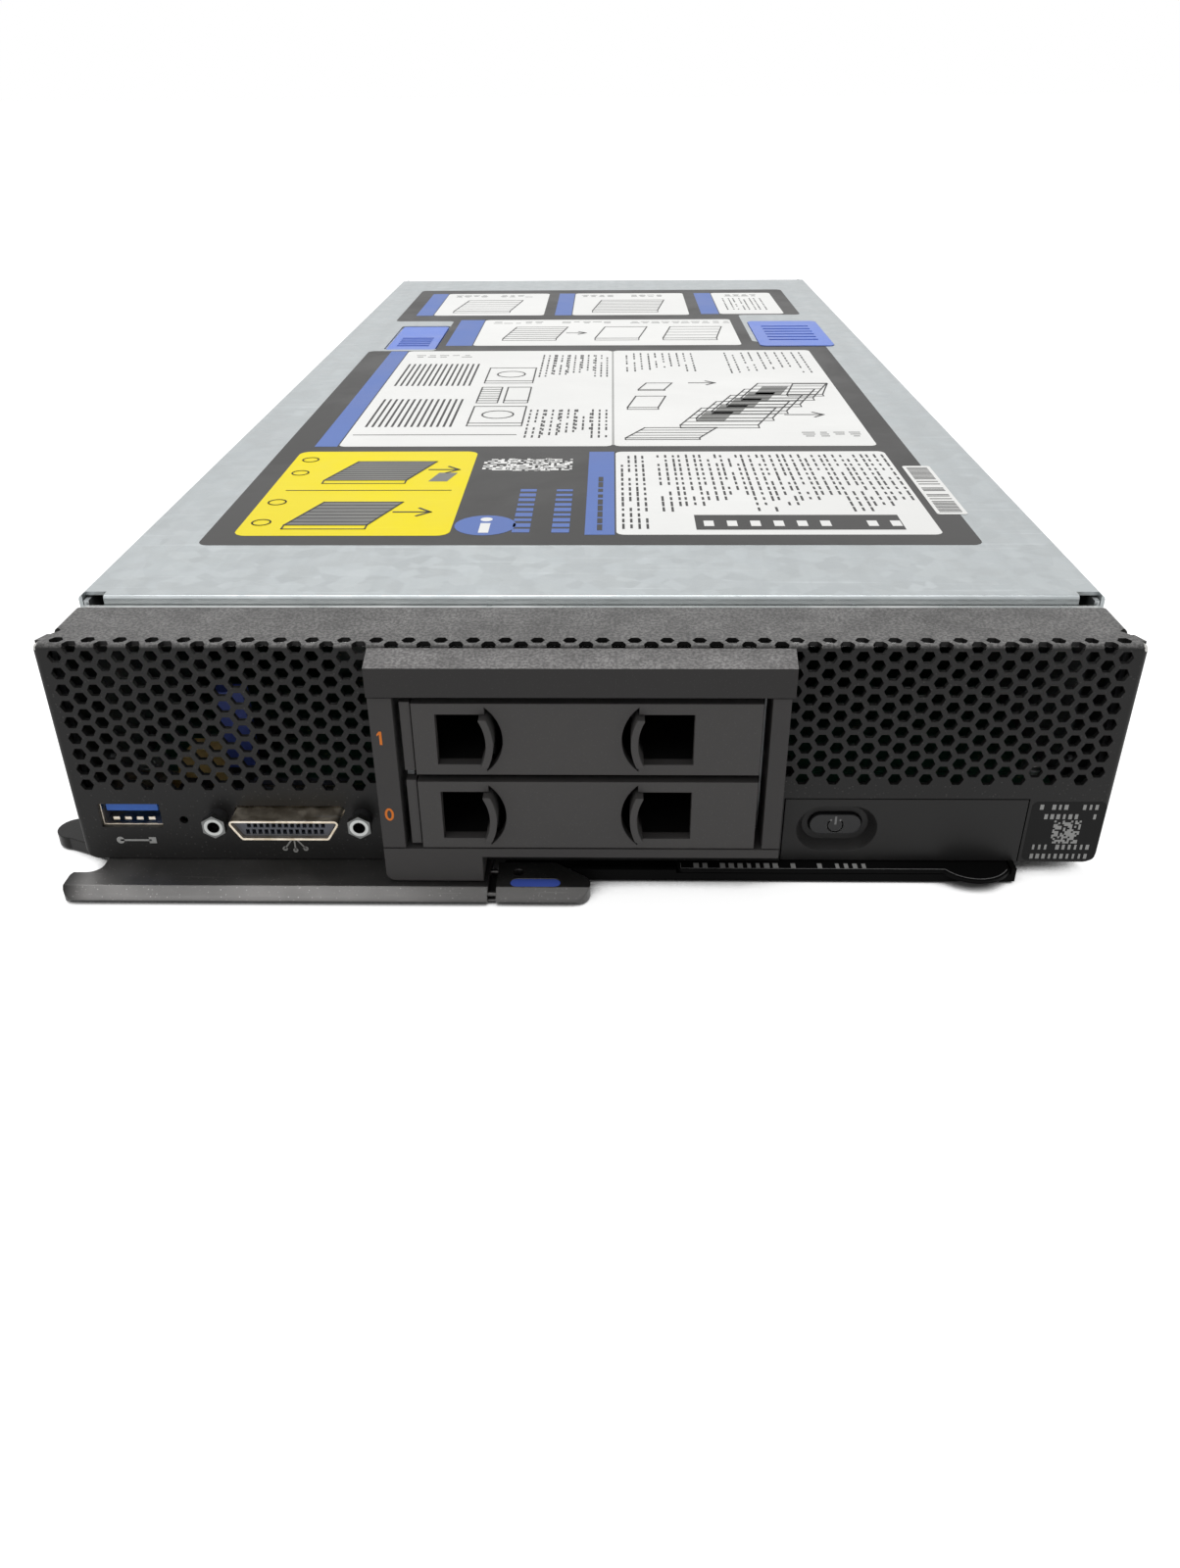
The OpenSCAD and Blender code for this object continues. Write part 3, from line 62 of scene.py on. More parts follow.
# %% [markdown]
# ## Two marks to measure from
# The bezel's front face and lower edge are the easiest lines to find on the real blade. Positions
# below are given as millimetres across, behind the bezel's face and above its lower edge. One helper
# turns them into metres in the frame, so nothing has to be fitted by eye, and another finds the
# middle of a solid's front in the same measure.

# %% Helpers for places and objects
MM = 0.001
BEZEL_LOW, BEZEL_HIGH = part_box("front_bezel")
COVER_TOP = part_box("top_cover")[1].z


def spot(across, behind, above):
    """A point in metres, from millimetres off the bezel's face and lower edge."""
    return Vector((across * MM, BEZEL_LOW.y + behind * MM, BEZEL_LOW.z + above * MM))


def front_middle(name):
    """The middle of a solid's front, in millimetres across, behind and above."""
    low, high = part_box(name)
    across = (low.x + high.x) / 2 / MM
    above = ((low.z + high.z) / 2 - BEZEL_LOW.z) / MM
    return across, (low.y - BEZEL_LOW.y) / MM, above


def new_object(name, data):
    """An object with its data, linked into the scene."""
    made = bpy.data.objects.new(name, data)
    bpy.context.scene.collection.objects.link(made)
    return made


print("bezel face at", round(BEZEL_LOW.y, 4), "cover top at", round(COVER_TOP, 4))

# %% [markdown]
# ## The camera
# The view is from just above the front edge, looking down over the cover. The camera's axes are
# worked out from three plain turns: pitch, yaw and a slight roll. A matrix built from those axes is
# more exact here than Euler angles typed in by hand.

# %% Place the camera
PITCH, YAW, ROLL = (math.radians(angle) for angle in (30.772, -1.1168, -0.4027))
forward = Vector((math.sin(YAW) * math.cos(PITCH), math.cos(YAW) * math.cos(PITCH), -math.sin(PITCH)))
level_right = Vector((math.cos(YAW), -math.sin(YAW), 0))
level_up = level_right.cross(forward)
right = level_right * math.cos(ROLL) + level_up * math.sin(ROLL)
up = level_up * math.cos(ROLL) - level_right * math.sin(ROLL)

EYE = spot(4.622, -207.417, 142.263)
lens = bpy.data.cameras.new("front_camera")
lens.sensor_width = 36
lens.lens = 27.167
lens.clip_start = 0.01
camera = new_object("front_camera", lens)
turn = Matrix((right, up, -forward)).transposed().to_4x4()
camera.matrix_world = Matrix.Translation(EYE) @ turn
bpy.context.scene.camera = camera
print("camera at", [round(v, 4) for v in camera.location])

# %% [markdown]
# ## Small tools for node trees
# The lights, the floor and every finish are trees of nodes. A few short helpers make a node with its
# links and values, take a smooth step, or do one sum, so that each tree reads as a few lines.

# %% Node tree helpers
def give(tree, made, values):
    """Gives the inputs of a node plain values or links, by name or by number."""
    for key, value in values.items():
        if isinstance(value, bpy.types.NodeSocket):
            tree.links.new(value, made.inputs[key])
        else:
            made.inputs[key].default_value = value


def node(tree, kind, values=None, **settings):
    """A node with its settings and inputs. A kind that names no family is a shader node."""
    made = tree.nodes.new(kind if "Node" in kind else "ShaderNode" + kind)
    for key, value in settings.items():
        setattr(made, key, value)
    give(tree, made, values or {})
    return made


def typed(sockets, kind, name=None):
    """The first socket of a type, for nodes that keep several sockets under one name."""
    return next(s for s in sockets if s.type == kind and name in (None, s.name))


def ramp(tree, source, low, high, bottom=0.0, top=1.0):
    """A smooth step of a value between low and high."""
    values = {"Value": source, "From Min": low, "From Max": high, "To Min": bottom, "To Max": top}
    return node(tree, "MapRange", values, interpolation_type="SMOOTHSTEP").outputs["Result"]


def combine(tree, operation, first, second):
    """A math node on two values, each a link or a number. Its result stays between 0 and 1."""
    return node(tree, "Math", {0: first, 1: second}, operation=operation, use_clamp=True).outputs[0]


def times(tree, first, *others):
    """The product of several masks."""
    for value in others:
        first = combine(tree, "MULTIPLY", first, value)
    return first


def part(tree, vector, axis):
    """One coordinate of a vector."""
    return node(tree, "SeparateXYZ", {0: vector}).outputs[axis]


print("node helpers ready")

# %% [markdown]
# ## Light and floor
# A blade is mostly dull metal and black paint, which show whatever is round them. An even pale sky,
# a broad lamp overhead and a weak one in front keep the colours near the values they are written
# with. The floor and the sky turn white for the camera and for rays that bounce off or pass through
# something glossy, so no extra light falls on the blade.
# The floor's white glow fades where something lies close over it, a painted shade that keeps tight
# gaps dark, and the floor is clear from below.

# %% Sky, lamps and floor
PALE_SKY = 0.42
FLOOR_REACH = 12
FLOOR_DROP = 0.0004
FLOOR_LIT = (0.62, 0.62, 0.62, 1)
FLOOR_SEEN = (0.34, 0.34, 0.34, 1)
GAP_REACH = 0.012
GAP_SHUT, GAP_OPEN = 0.28, 0.47
FLOOR_GLOW = 0.88


def seen_directly(tree):
    """A value of 1 for camera, glossy and transmission rays, and 0 for the rest."""
    path = node(tree, "LightPath")
    total = path.outputs["Is Camera Ray"]
    for ray in ("Is Glossy Ray", "Is Transmission Ray"):
        total = combine(tree, "MAXIMUM", total, path.outputs[ray])
    return total


def white_sky():
    world = bpy.data.worlds.new("pale_sky")
    world.use_nodes = True
    tree = world.node_tree
    strength = node(tree, "MapRange", {"Value": seen_directly(tree), "To Min": PALE_SKY, "To Max": 1.0})
    give(tree, tree.nodes["Background"], {"Color": (1, 1, 1, 1), "Strength": strength.outputs["Result"]})
    bpy.context.scene.world = world


def soft_lamp(name, place, target, size, watts):
    light = bpy.data.lights.new(name, "AREA")
    light.shape = "RECTANGLE"
    light.size, light.size_y = size
    light.energy = watts
    lamp = new_object(name, light)
    aim = (Vector(place) - Vector(target)).to_track_quat("Z", "Y")
    lamp.matrix_world = Matrix.Translation(place) @ aim.to_matrix().to_4x4()


def white_floor():
    """Matt grey to the light, white to the eye, with painted shade in tight gaps, and clear from below.
    """
    material = bpy.data.materials.new("white_floor")
    material.use_nodes = True
    tree = material.node_tree
    tree.nodes.clear()
    matt = node(tree, "BsdfDiffuse", {"Color": FLOOR_LIT})
    pale = node(tree, "BsdfDiffuse", {"Color": FLOOR_SEEN})
    gap = node(tree, "AmbientOcclusion", {"Distance": GAP_REACH}, samples=8)
    fade = node(tree, "MapRange", {"Value": gap.outputs["AO"], "From Min": GAP_SHUT,
                                   "From Max": GAP_OPEN, "To Min": 0.0, "To Max": FLOOR_GLOW})
    glow = node(tree, "Emission", {"Strength": fade.outputs["Result"]})
    bright = node(tree, "AddShader", {0: pale.outputs[0], 1: glow.outputs[0]})
    choose = node(tree, "MixShader", {0: seen_directly(tree), 1: matt.outputs[0], 2: bright.outputs[0]})
    from_below = node(tree, "NewGeometry").outputs["Backfacing"]
    clear = node(tree, "BsdfTransparent")
    one_sided = node(tree, "MixShader", {0: from_below, 1: choose.outputs[0], 2: clear.outputs[0]})
    node(tree, "OutputMaterial", {0: one_sided.outputs[0]})
    return material


white_sky()
soft_lamp("overhead_lamp", (-0.1, 0.2, 1.4), (0, 0, 0), (1.1, 1.1), 16)
soft_lamp("front_lamp", (-0.4, -1.2, 1.0), (0, -0.2, 0), (0.9, 0.6), 1.6)
floor_mesh = bpy.data.meshes.new("floor")
floor_corners = [(-1, -1), (1, -1), (1, 1), (-1, 1)]
floor_mesh.from_pydata([(x * FLOOR_REACH, y * FLOOR_REACH, 0) for x, y in floor_corners],
                       [], [(0, 1, 2, 3)])
floor_mesh.transform(Matrix.Translation((0, 0, cad_box[0][2] - FLOOR_DROP)))
floor_mesh.materials.append(white_floor())
floor = new_object("floor", floor_mesh)
bpy.context.scene.view_settings.view_transform = "Standard"
print("sky strength", PALE_SKY)

# %% [markdown]
# ## Effects shared by several finishes
# Paint, plastic and zinc all carry a fine grain, soft stains, dust on what faces up, and scratches.
# Each effect is a node group made once, with named sockets, so that a finish can set its own scale.
# A group gives out masks and heights only. The shader itself stays in each material.

# %% Group helpers
SOCKET = {"vector": "NodeSocketVector", "value": "NodeSocketFloat"}


def new_effect(name, inputs, outputs):
    """An empty shader group, what comes in by name, and the node that gives its results out."""
    tree = bpy.data.node_groups.new(name, "ShaderNodeTree")
    for label, kind, value in inputs:
        socket = tree.interface.new_socket(name=label, in_out="INPUT", socket_type=SOCKET[kind])
        if value is not None:
            socket.default_value = value
    for label, kind in outputs:
        tree.interface.new_socket(name=label, in_out="OUTPUT", socket_type=SOCKET[kind])
    return tree, node(tree, "NodeGroupInput").outputs, node(tree, "NodeGroupOutput")


print("socket kinds:", list(SOCKET))

# %% Fine grain
GRAIN, grain_in, grain_out = new_effect(
    "fine_grain",
    [("Vector", "vector", None), ("Scale", "value", 1800.0), ("Fleck Amount", "value", 0.3)],
    [("Height", "value"), ("Flecks", "value")])
grain_place = {"Vector": grain_in["Vector"], "Scale": grain_in["Scale"]}
grain_noise = node(GRAIN, "TexNoise", {**grain_place, "Detail": 2.0, "Roughness": 0.6})
grain_cells = node(GRAIN, "TexVoronoi", grain_place, feature="F1")
fleck_pick = ramp(GRAIN, grain_cells.outputs["Color"], 0.7, 0.9)
fleck_spot = ramp(GRAIN, grain_cells.outputs["Distance"], 0.45, 0.15)
give(GRAIN, grain_out, {"Height": grain_noise.outputs["Fac"],
                        "Flecks": times(GRAIN, fleck_pick, fleck_spot, grain_in["Fleck Amount"])})
print("made", GRAIN.name)

# %% Soft stains
STAIN_MIDDLE = 0.52
STAINS, stain_in, stain_out = new_effect(
    "soft_stains",
    [("Vector", "vector", None), ("Scale", "value", 30.0), ("Sharpness", "value", 0.2)],
    [("Mask", "value")])
stain_noise = node(STAINS, "TexNoise", {"Vector": stain_in["Vector"], "Scale": stain_in["Scale"],
                                        "Detail": 4.0, "Roughness": 0.62, "Distortion": 0.4})
stain_low = combine(STAINS, "SUBTRACT", STAIN_MIDDLE, stain_in["Sharpness"])
stain_high = combine(STAINS, "ADD", STAIN_MIDDLE, stain_in["Sharpness"])
give(STAINS, stain_out, {"Mask": ramp(STAINS, stain_noise.outputs["Fac"], stain_low, stain_high)})
print("made", STAINS.name)

# %% Fine scratches
SCRATCHES, scratch_in, scratch_out = new_effect(
    "fine_scratches",
    [("Vector", "vector", None), ("Scale", "value", 60.0), ("Amount", "value", 0.5)],
    [("Mask", "value")])
scratch_lines = 0.0
for angle, stretch in ((0.4, 22.0), (-0.9, 34.0)):
    scratch_map = node(SCRATCHES, "Mapping", {"Vector": scratch_in["Vector"], "Rotation": (0, 0, angle),
                                              "Scale": (1, stretch, stretch)})
    scratch_noise = node(SCRATCHES, "TexNoise", {"Vector": scratch_map.outputs[0], "Detail": 1.0,
                                                 "Scale": scratch_in["Scale"], "Roughness": 0.4})
    scratch_line = ramp(SCRATCHES, scratch_noise.outputs["Fac"], 0.68, 0.76)
    scratch_lines = combine(SCRATCHES, "MAXIMUM", scratch_lines, scratch_line)
give(SCRATCHES, scratch_out, {"Mask": times(SCRATCHES, scratch_lines, scratch_in["Amount"])})
print("made", SCRATCHES.name)

# %% Dust on what faces up
DUST, dust_in, dust_out = new_effect(
    "settled_dust",
    [("Vector", "vector", None), ("Normal", "vector", None), ("Amount", "value", 0.5),
     ("Lowest", "value", -1.0)],
    [("Mask", "value")])
dust_noise = node(DUST, "TexNoise", {"Vector": dust_in["Vector"], "Scale": 160.0, "Detail": 5.0,
                                     "Roughness": 0.7})
dust_fine = node(DUST, "TexNoise", {"Vector": dust_in["Vector"], "Scale": 1500.0, "Detail": 2.0,
                                    "Roughness": 0.7})
dust_up = ramp(DUST, part(DUST, dust_in["Normal"], "Z"), 0.25, 0.9)
dust_patch = ramp(DUST, dust_noise.outputs["Fac"], 0.3, 0.75, 0.5, 1.0)
dust_speck = ramp(DUST, dust_fine.outputs["Fac"], 0.4, 0.62, 0.35, 1.0)
dust_high = combine(DUST, "GREATER_THAN", part(DUST, dust_in["Vector"], "Z"), dust_in["Lowest"])
give(DUST, dust_out, {"Mask": times(DUST, dust_up, dust_patch, dust_speck, dust_high, dust_in["Amount"])})
print("made", DUST.name)

# %% [markdown]
# ## A recipe for the plain finishes
# Most finishes differ only in colour, gloss, grain and dirt, so one function builds them from a few
# values. It reads Object coordinates, which never slide when a piece moves with its joint. The
# Bevel node rounds sharp corners in the shading, as a moulded or cast corner is rounded. A second
# function paints light and shade into a finish along one axis: painted shade for parts that run back
# into a recess or under an edge, and painted light or shade where a part's tone follows how light falls.

# %% The finish builder
finishes = {}


def effect(tree, group, where, **values):
    """One of the shared effects at a place on the piece."""
    named = {key.replace("_", " "): value for key, value in values.items()}
    return node(tree, "Group", {"Vector": where, **named}, node_tree=group).outputs


def blend_colour(tree, mask, first, second):
    """One colour over another, where each is a link or three numbers."""
    made = node(tree, "Mix", {"Factor": mask}, data_type="RGBA")
    for label, value in (("A", first), ("B", second)):
        socket = typed(made.inputs, "RGBA", label)
        if isinstance(value, tuple):
            socket.default_value = (*value, 1)
        else:
            tree.links.new(value, socket)
    return typed(made.outputs, "RGBA")


def new_finish(name):
    """An empty finish: its tree, its shader and the coordinates on the piece."""
    material = bpy.data.materials.new(name)
    material.use_nodes = True
    tree = material.node_tree
    finishes[name] = material
    return tree, tree.nodes["Principled BSDF"], node(tree, "TexCoord").outputs


def grain_bump(tree, shader, fine, strength, height):
    """Raises the grain a little over the surface."""
    bump = node(tree, "Bump", {"Height": fine["Height"], "Strength": strength, "Distance": height})
    give(tree, shader, {"Normal": bump.outputs[0]})
    return bump


def plain_finish(name, colour, other, rough, metal=0.0, grain=2600.0, height=0.00001, flecks=0.0,
                 fleck_colour=(0.2, 0.2, 0.2), stain=40.0, spread=0.06, dust=0.0, edge=0.0,
                 dust_colour=(0.22, 0.21, 0.2), dust_from=-1.0, scratch=0.0, shine=0.5):
    """A finish of one colour shading into another, with grain, gloss, dust and scratches."""
    tree, shader, place = new_finish(name)
    where = place["Object"]
    fine = effect(tree, GRAIN, where, Scale=grain, Fleck_Amount=flecks)
    patch = effect(tree, STAINS, where, Scale=stain)["Mask"]
    tone = blend_colour(tree, patch, colour, other)
    if flecks:
        tone = blend_colour(tree, fine["Flecks"], tone, fleck_colour)
    if scratch:
        lines = effect(tree, SCRATCHES, where, Amount=scratch)["Mask"]
        tone = blend_colour(tree, lines, tone, tuple(min(1, v * 1.6 + 0.02) for v in other))
    if dust:
        settled = effect(tree, DUST, where, Normal=place["Normal"], Amount=dust, Lowest=dust_from)
        tone = blend_colour(tree, settled["Mask"], tone, dust_colour)
    gloss = ramp(tree, patch, 0, 1, rough - spread, rough + spread)
    give(tree, shader, {"Base Color": tone, "Roughness": gloss, "Metallic": metal,
                        "Specular IOR Level": shine})
    bump = grain_bump(tree, shader, fine, 0.6, height)
    if edge:
        rounded_edge = node(tree, "Bevel", {"Radius": edge}, samples=4)
        give(tree, bump, {"Normal": rounded_edge.outputs[0]})


def paint_light_and_shade_along(name, axis, start, end, before, after):
    """Paints shade or light into a finish along one axis, from one share of its colour to another."""
    tree = finishes[name].node_tree
    shader = tree.nodes["Principled BSDF"]
    tone = shader.inputs["Base Color"].links[0].from_socket
    place = part(tree, node(tree, "TexCoord").outputs["Object"], axis)
    share = ramp(tree, place, start, end, before, after)
    scaled = node(tree, "VectorMath", {0: tone, "Scale": share}, operation="SCALE")
    give(tree, shader, {"Base Color": scaled.outputs[0]})


print("finish builder ready")

# %% [markdown]
# ## Finishes of the case, bay, ports and inner parts
# The moulded frame round the bays is charcoal plastic with a fine leather-like grain. The lever is a
# satin grey casting, the touch points are one blue plastic, and plated parts are bright zinc. Each
# gets two close tones instead of one, because no real surface is the same all over.

# %% Plain finishes
VISOR_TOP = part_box("bay_surround")[1].z - 0.5 * MM
plain_finish("bay_plastic", (0.036, 0.034, 0.034), (0.045, 0.043, 0.042), 0.52, height=0.00003,
             flecks=0.25, fleck_colour=(0.1, 0.097, 0.095), dust=0.9, edge=0.00025,
             dust_colour=(0.36, 0.35, 0.345), dust_from=VISOR_TOP, shine=0.25)
plain_finish("filler_plastic", (0.06, 0.0575, 0.0565), (0.073, 0.0695, 0.068), 0.52, height=0.00003,
             flecks=0.25, fleck_colour=(0.12, 0.117, 0.115), edge=0.00025, shine=0.3)
plain_finish("button_plastic", (0.016, 0.016, 0.017), (0.022, 0.022, 0.023), 0.38, grain=2200.0,
             edge=0.0004, shine=0.35)
plain_finish("panel_plastic", (0.014, 0.0135, 0.0135), (0.019, 0.0185, 0.018), 0.46, height=0.00002,
             edge=0.0003, shine=0.25)
plain_finish("tray_black", (0.005, 0.005, 0.005), (0.008, 0.008, 0.008), 0.5, grain=2200.0,
             edge=0.0002, shine=0.03)
plain_finish("cast_lever", (0.165, 0.162, 0.159), (0.215, 0.21, 0.206), 0.36, metal=0.85, grain=2400.0,
             height=0.00002, flecks=0.7, fleck_colour=(0.5, 0.49, 0.48), dust=0.1, edge=0.0004,
             scratch=0.3)
plain_finish("touch_blue", (0.085, 0.155, 0.7), (0.1, 0.18, 0.76), 0.42, edge=0.0002)
plain_finish("cover_blue", (0.07, 0.15, 0.56), (0.1, 0.19, 0.62), 0.45, edge=0.0002, dust=0.2,
             dust_colour=(0.4, 0.45, 0.6))
plain_finish("plated_steel", (0.88, 0.885, 0.865), (0.95, 0.95, 0.93), 0.3, metal=1.0, grain=900.0,
             height=0.000004, scratch=0.3, edge=0.0002)
plain_finish("port_tin", (0.54, 0.46, 0.35), (0.9, 0.82, 0.69), 0.34, metal=1.0, grain=1500.0,
             height=0.000008, stain=300.0, edge=0.00025, scratch=0.4)
plain_finish("port_insert", (0.07, 0.078, 0.1), (0.095, 0.1, 0.125), 0.4)
plain_finish("socket_black", (0.012, 0.012, 0.013), (0.02, 0.02, 0.021), 0.5, height=0.00002,
             grain=2000.0)
plain_finish("board_green", (0.012, 0.05, 0.03), (0.018, 0.07, 0.04), 0.38, grain=800.0, flecks=0.6,
             fleck_colour=(0.3, 0.27, 0.14), height=0.00002)
plain_finish("fin_metal", (0.5, 0.51, 0.52), (0.6, 0.61, 0.62), 0.35, metal=1.0, grain=1200.0,
             height=0.000006, scratch=0.3)
plain_finish("inner_metal", (0.34, 0.35, 0.355), (0.44, 0.45, 0.46), 0.45, metal=1.0, grain=700.0,
             stain=60.0)
plain_finish("jack_rim", (0.42, 0.43, 0.42), (0.5, 0.51, 0.5), 0.3, metal=1.0, grain=900.0,
             height=0.000004, scratch=0.3)
plain_finish("coin_steel", (0.66, 0.66, 0.65), (0.74, 0.74, 0.73), 0.22, metal=1.0, grain=900.0,
             height=0.000004, scratch=0.4)
FILLER_FACE_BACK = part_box("filler_upper")[0].y + 2.6 * MM
VISOR_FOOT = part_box("bay_surround")[1].z - 6.2 * MM
LEVER_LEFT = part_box("lever_arm")[0].x
LATCH_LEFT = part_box("lever_latch")[0].x
# Painted shade: the fillers are painted nearly black behind their front face, inside the windows.
paint_light_and_shade_along("filler_plastic", "Y", FILLER_FACE_BACK, FILLER_FACE_BACK + 1.4 * MM, 1.0, 0.08)
# Painted light and shade: the bay frame is painted lighter below the visor's foot and darker on the
# visor.
paint_light_and_shade_along("bay_plastic", "Z", VISOR_FOOT - 0.4 * MM, VISOR_FOOT + 0.4 * MM, 1.35, 0.76)
# Painted shade: the lever's left end, its ear, is painted far darker than the rest of the casting.
paint_light_and_shade_along("cast_lever", "X", LEVER_LEFT + 9 * MM, LEVER_LEFT + 16 * MM, 0.08, 1.0)
# Painted shade: the casting darkens towards the latch, and the latch and its pins sit at half tone.
paint_light_and_shade_along("cast_lever", "X", LATCH_LEFT - 36 * MM, LATCH_LEFT - 2 * MM, 1.0, 0.5)
print("finishes:", len(finishes))

# %% [markdown]
# ## Powder coat on the bezel
# The bezel is sheet steel with a fine black powder coat. Handling has rubbed it through to bright
# metal at the two top front corners, and left pale scuffs along the top fold. The worn places follow
# from the height and the distance to the corner, broken up by noise, and there the coat gives way
# to a metallic shader value.

# %% Bezel finish
def bezel_coat():
    tree, shader, place = new_finish("bezel_coat")
    where = place["Object"]
    fine = effect(tree, GRAIN, where, Scale=1700.0, Fleck_Amount=0.75)
    patch = effect(tree, STAINS, where, Scale=45.0)["Mask"]
    tone = blend_colour(tree, patch, (0.0125, 0.0121, 0.012), (0.0165, 0.0161, 0.0158))
    tone = blend_colour(tree, fine["Flecks"], tone, (0.07, 0.068, 0.066))
    settled = effect(tree, DUST, where, Normal=place["Normal"], Amount=0.8,
                     Lowest=BEZEL_HIGH.z - 1.1 * MM)
    tone = blend_colour(tree, settled["Mask"], tone, (0.24, 0.235, 0.23))
    side = node(tree, "Math", {0: part(tree, where, "X")}, operation="ABSOLUTE").outputs[0]
    near_side = ramp(tree, side, BEZEL_HIGH.x - 1.5 * MM, BEZEL_HIGH.x - 0.3 * MM)
    near_top = ramp(tree, part(tree, where, "Z"), BEZEL_HIGH.z - 2.2 * MM, BEZEL_HIGH.z - 0.4 * MM)
    near_front = ramp(tree, part(tree, where, "Y"), BEZEL_LOW.y + 3 * MM, BEZEL_LOW.y + 0.3 * MM)
    corner = times(tree, near_side, near_top, near_front)
    fold = times(tree, near_top, near_front, 0.3)
    wear = node(tree, "TexNoise", {"Vector": where, "Scale": 900.0, "Detail": 4.0, "Roughness": 0.7})
    rubbed = times(tree, combine(tree, "ADD", corner, fold), wear.outputs["Fac"])
    bare = ramp(tree, rubbed, 0.27, 0.4)
    give(tree, shader, {"Base Color": blend_colour(tree, bare, tone, (0.55, 0.54, 0.52)),
                        "Metallic": bare, "Roughness": ramp(tree, patch, 0, 1, 0.4, 0.5),
                        "Specular IOR Level": 0.24})
    grain_bump(tree, shader, fine, 0.7, 0.00004)


bezel_coat()
print("bezel finish made")

# %% [markdown]
# ## Galvanized steel
# Hot-dip zinc has large, faint crystals called spangle, and dulls unevenly where hands and trays
# touch it. A Voronoi texture gives each crystal its own slight tone and gloss. Soft stains and long
# scratches lie over it.

# %% Galvanized finish
def galvanized(name, low, high, rough):
    tree, shader, place = new_finish(name)
    where = place["Object"]
    crystal = node(tree, "TexVoronoi", {"Vector": where, "Scale": 260.0}, feature="F1")
    facet = node(tree, "SeparateColor", {0: crystal.outputs["Color"]}).outputs
    tone = blend_colour(tree, facet[0], low, high)
    patch = effect(tree, STAINS, where, Scale=14.0, Sharpness=0.3)["Mask"]
    tone = blend_colour(tree, times(tree, patch, 0.26), tone, tuple(v * 0.86 for v in low))
    smudge = effect(tree, STAINS, where, Scale=95.0, Sharpness=0.12)["Mask"]
    greasy = tuple(v * w for v, w in zip(low, (0.8, 0.78, 0.72)))
    tone = blend_colour(tree, times(tree, smudge, 0.12), tone, greasy)
    lines = effect(tree, SCRATCHES, where, Scale=24.0, Amount=0.22)["Mask"]
    tone = blend_colour(tree, lines, tone, tuple(v * 1.5 for v in high))
    drawn = node(tree, "Mapping", {"Vector": where, "Scale": (150, 5, 150)})
    streak = node(tree, "TexNoise", {"Vector": drawn.outputs[0], "Scale": 1.0, "Detail": 3.0,
                                     "Roughness": 0.6})
    streaky = ramp(tree, streak.outputs["Fac"], 0.35, 0.7, 0.0, 0.5)
    tone = blend_colour(tree, streaky, tone, tuple(v * 0.9 for v in low))
    gloss = ramp(tree, facet[1], 0, 1, rough - 0.05, rough + 0.05)
    give(tree, shader, {"Base Color": tone, "Roughness": gloss, "Metallic": 0.85})
    grain_bump(tree, shader, effect(tree, GRAIN, where, Scale=1300.0), 0.35, 0.00001)


galvanized("cover_zinc", (0.415, 0.445, 0.455), (0.46, 0.49, 0.5), 0.4)
galvanized("pan_zinc", (0.43, 0.45, 0.46), (0.49, 0.51, 0.52), 0.4)
PAN_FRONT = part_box("base_pan")[0].y
# Painted shade: the front of the pan, which lies behind the bezel, is painted dark.
paint_light_and_shade_along("pan_zinc", "Y", PAN_FRONT + 14 * MM, PAN_FRONT + 16 * MM, 0.2, 1.0)
print("zinc finishes made")

# %% [markdown]
# ## A finish that changes by place
# The touch point behind the left grille is one small block: a blue grip on a black base, beside a
# gold-coloured socket. One material picks its colour from the place on the block, so the piece stays
# one solid. The jack posts and the tongue of the bus port change colour in the same way, at one plane;
# on the jack posts the black behind the front is painted shade.

# %% Touch point finish
def zoned_touch_point():
    low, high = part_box("touch_point")
    tree, shader, place = new_finish("touch_point_zones")
    where = place["Object"]
    is_grip = combine(tree, "GREATER_THAN", part(tree, where, "Z"), low.z + 5.3 * MM)
    is_base = combine(tree, "GREATER_THAN", part(tree, where, "X"), high.x - 6.4 * MM)
    grain = effect(tree, GRAIN, where, Scale=2000.0, Fleck_Amount=0.3)["Height"]
    gold = blend_colour(tree, grain, (0.62, 0.44, 0.16), (0.74, 0.55, 0.24))
    blue = blend_colour(tree, grain, (0.05, 0.08, 0.34), (0.07, 0.11, 0.42))
    tone = blend_colour(tree, is_base, gold, (0.015, 0.015, 0.016))
    tone = blend_colour(tree, times(tree, is_grip, is_base), tone, blue)
    give(tree, shader, {"Base Color": tone, "Roughness": 0.45})


zoned_touch_point()


def two_zones(name, axis, limit, below, above):
    """One piece in two finishes that meet at a plane. A zone is a colour, its metal and its gloss."""
    tree, shader, place = new_finish(name)
    where = place["Object"]
    beyond = combine(tree, "GREATER_THAN", part(tree, where, axis), limit)
    fine = effect(tree, GRAIN, where, Scale=2400.0)
    tones = [blend_colour(tree, fine["Height"], tuple(v * 0.8 for v in colour), colour)
             for colour in (below[0], above[0])]
    give(tree, shader, {"Base Color": blend_colour(tree, beyond, *tones)})
    for index, label in enumerate(("Metallic", "Roughness"), 1):
        choice = node(tree, "MapRange", {"Value": beyond, "To Min": below[index], "To Max": above[index]})
        give(tree, shader, {label: choice.outputs[0]})
    grain_bump(tree, shader, fine, 0.4, 0.00001)


JACK_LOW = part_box("jack_posts")[0]
TONGUE_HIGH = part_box("usb_tongue")[1]
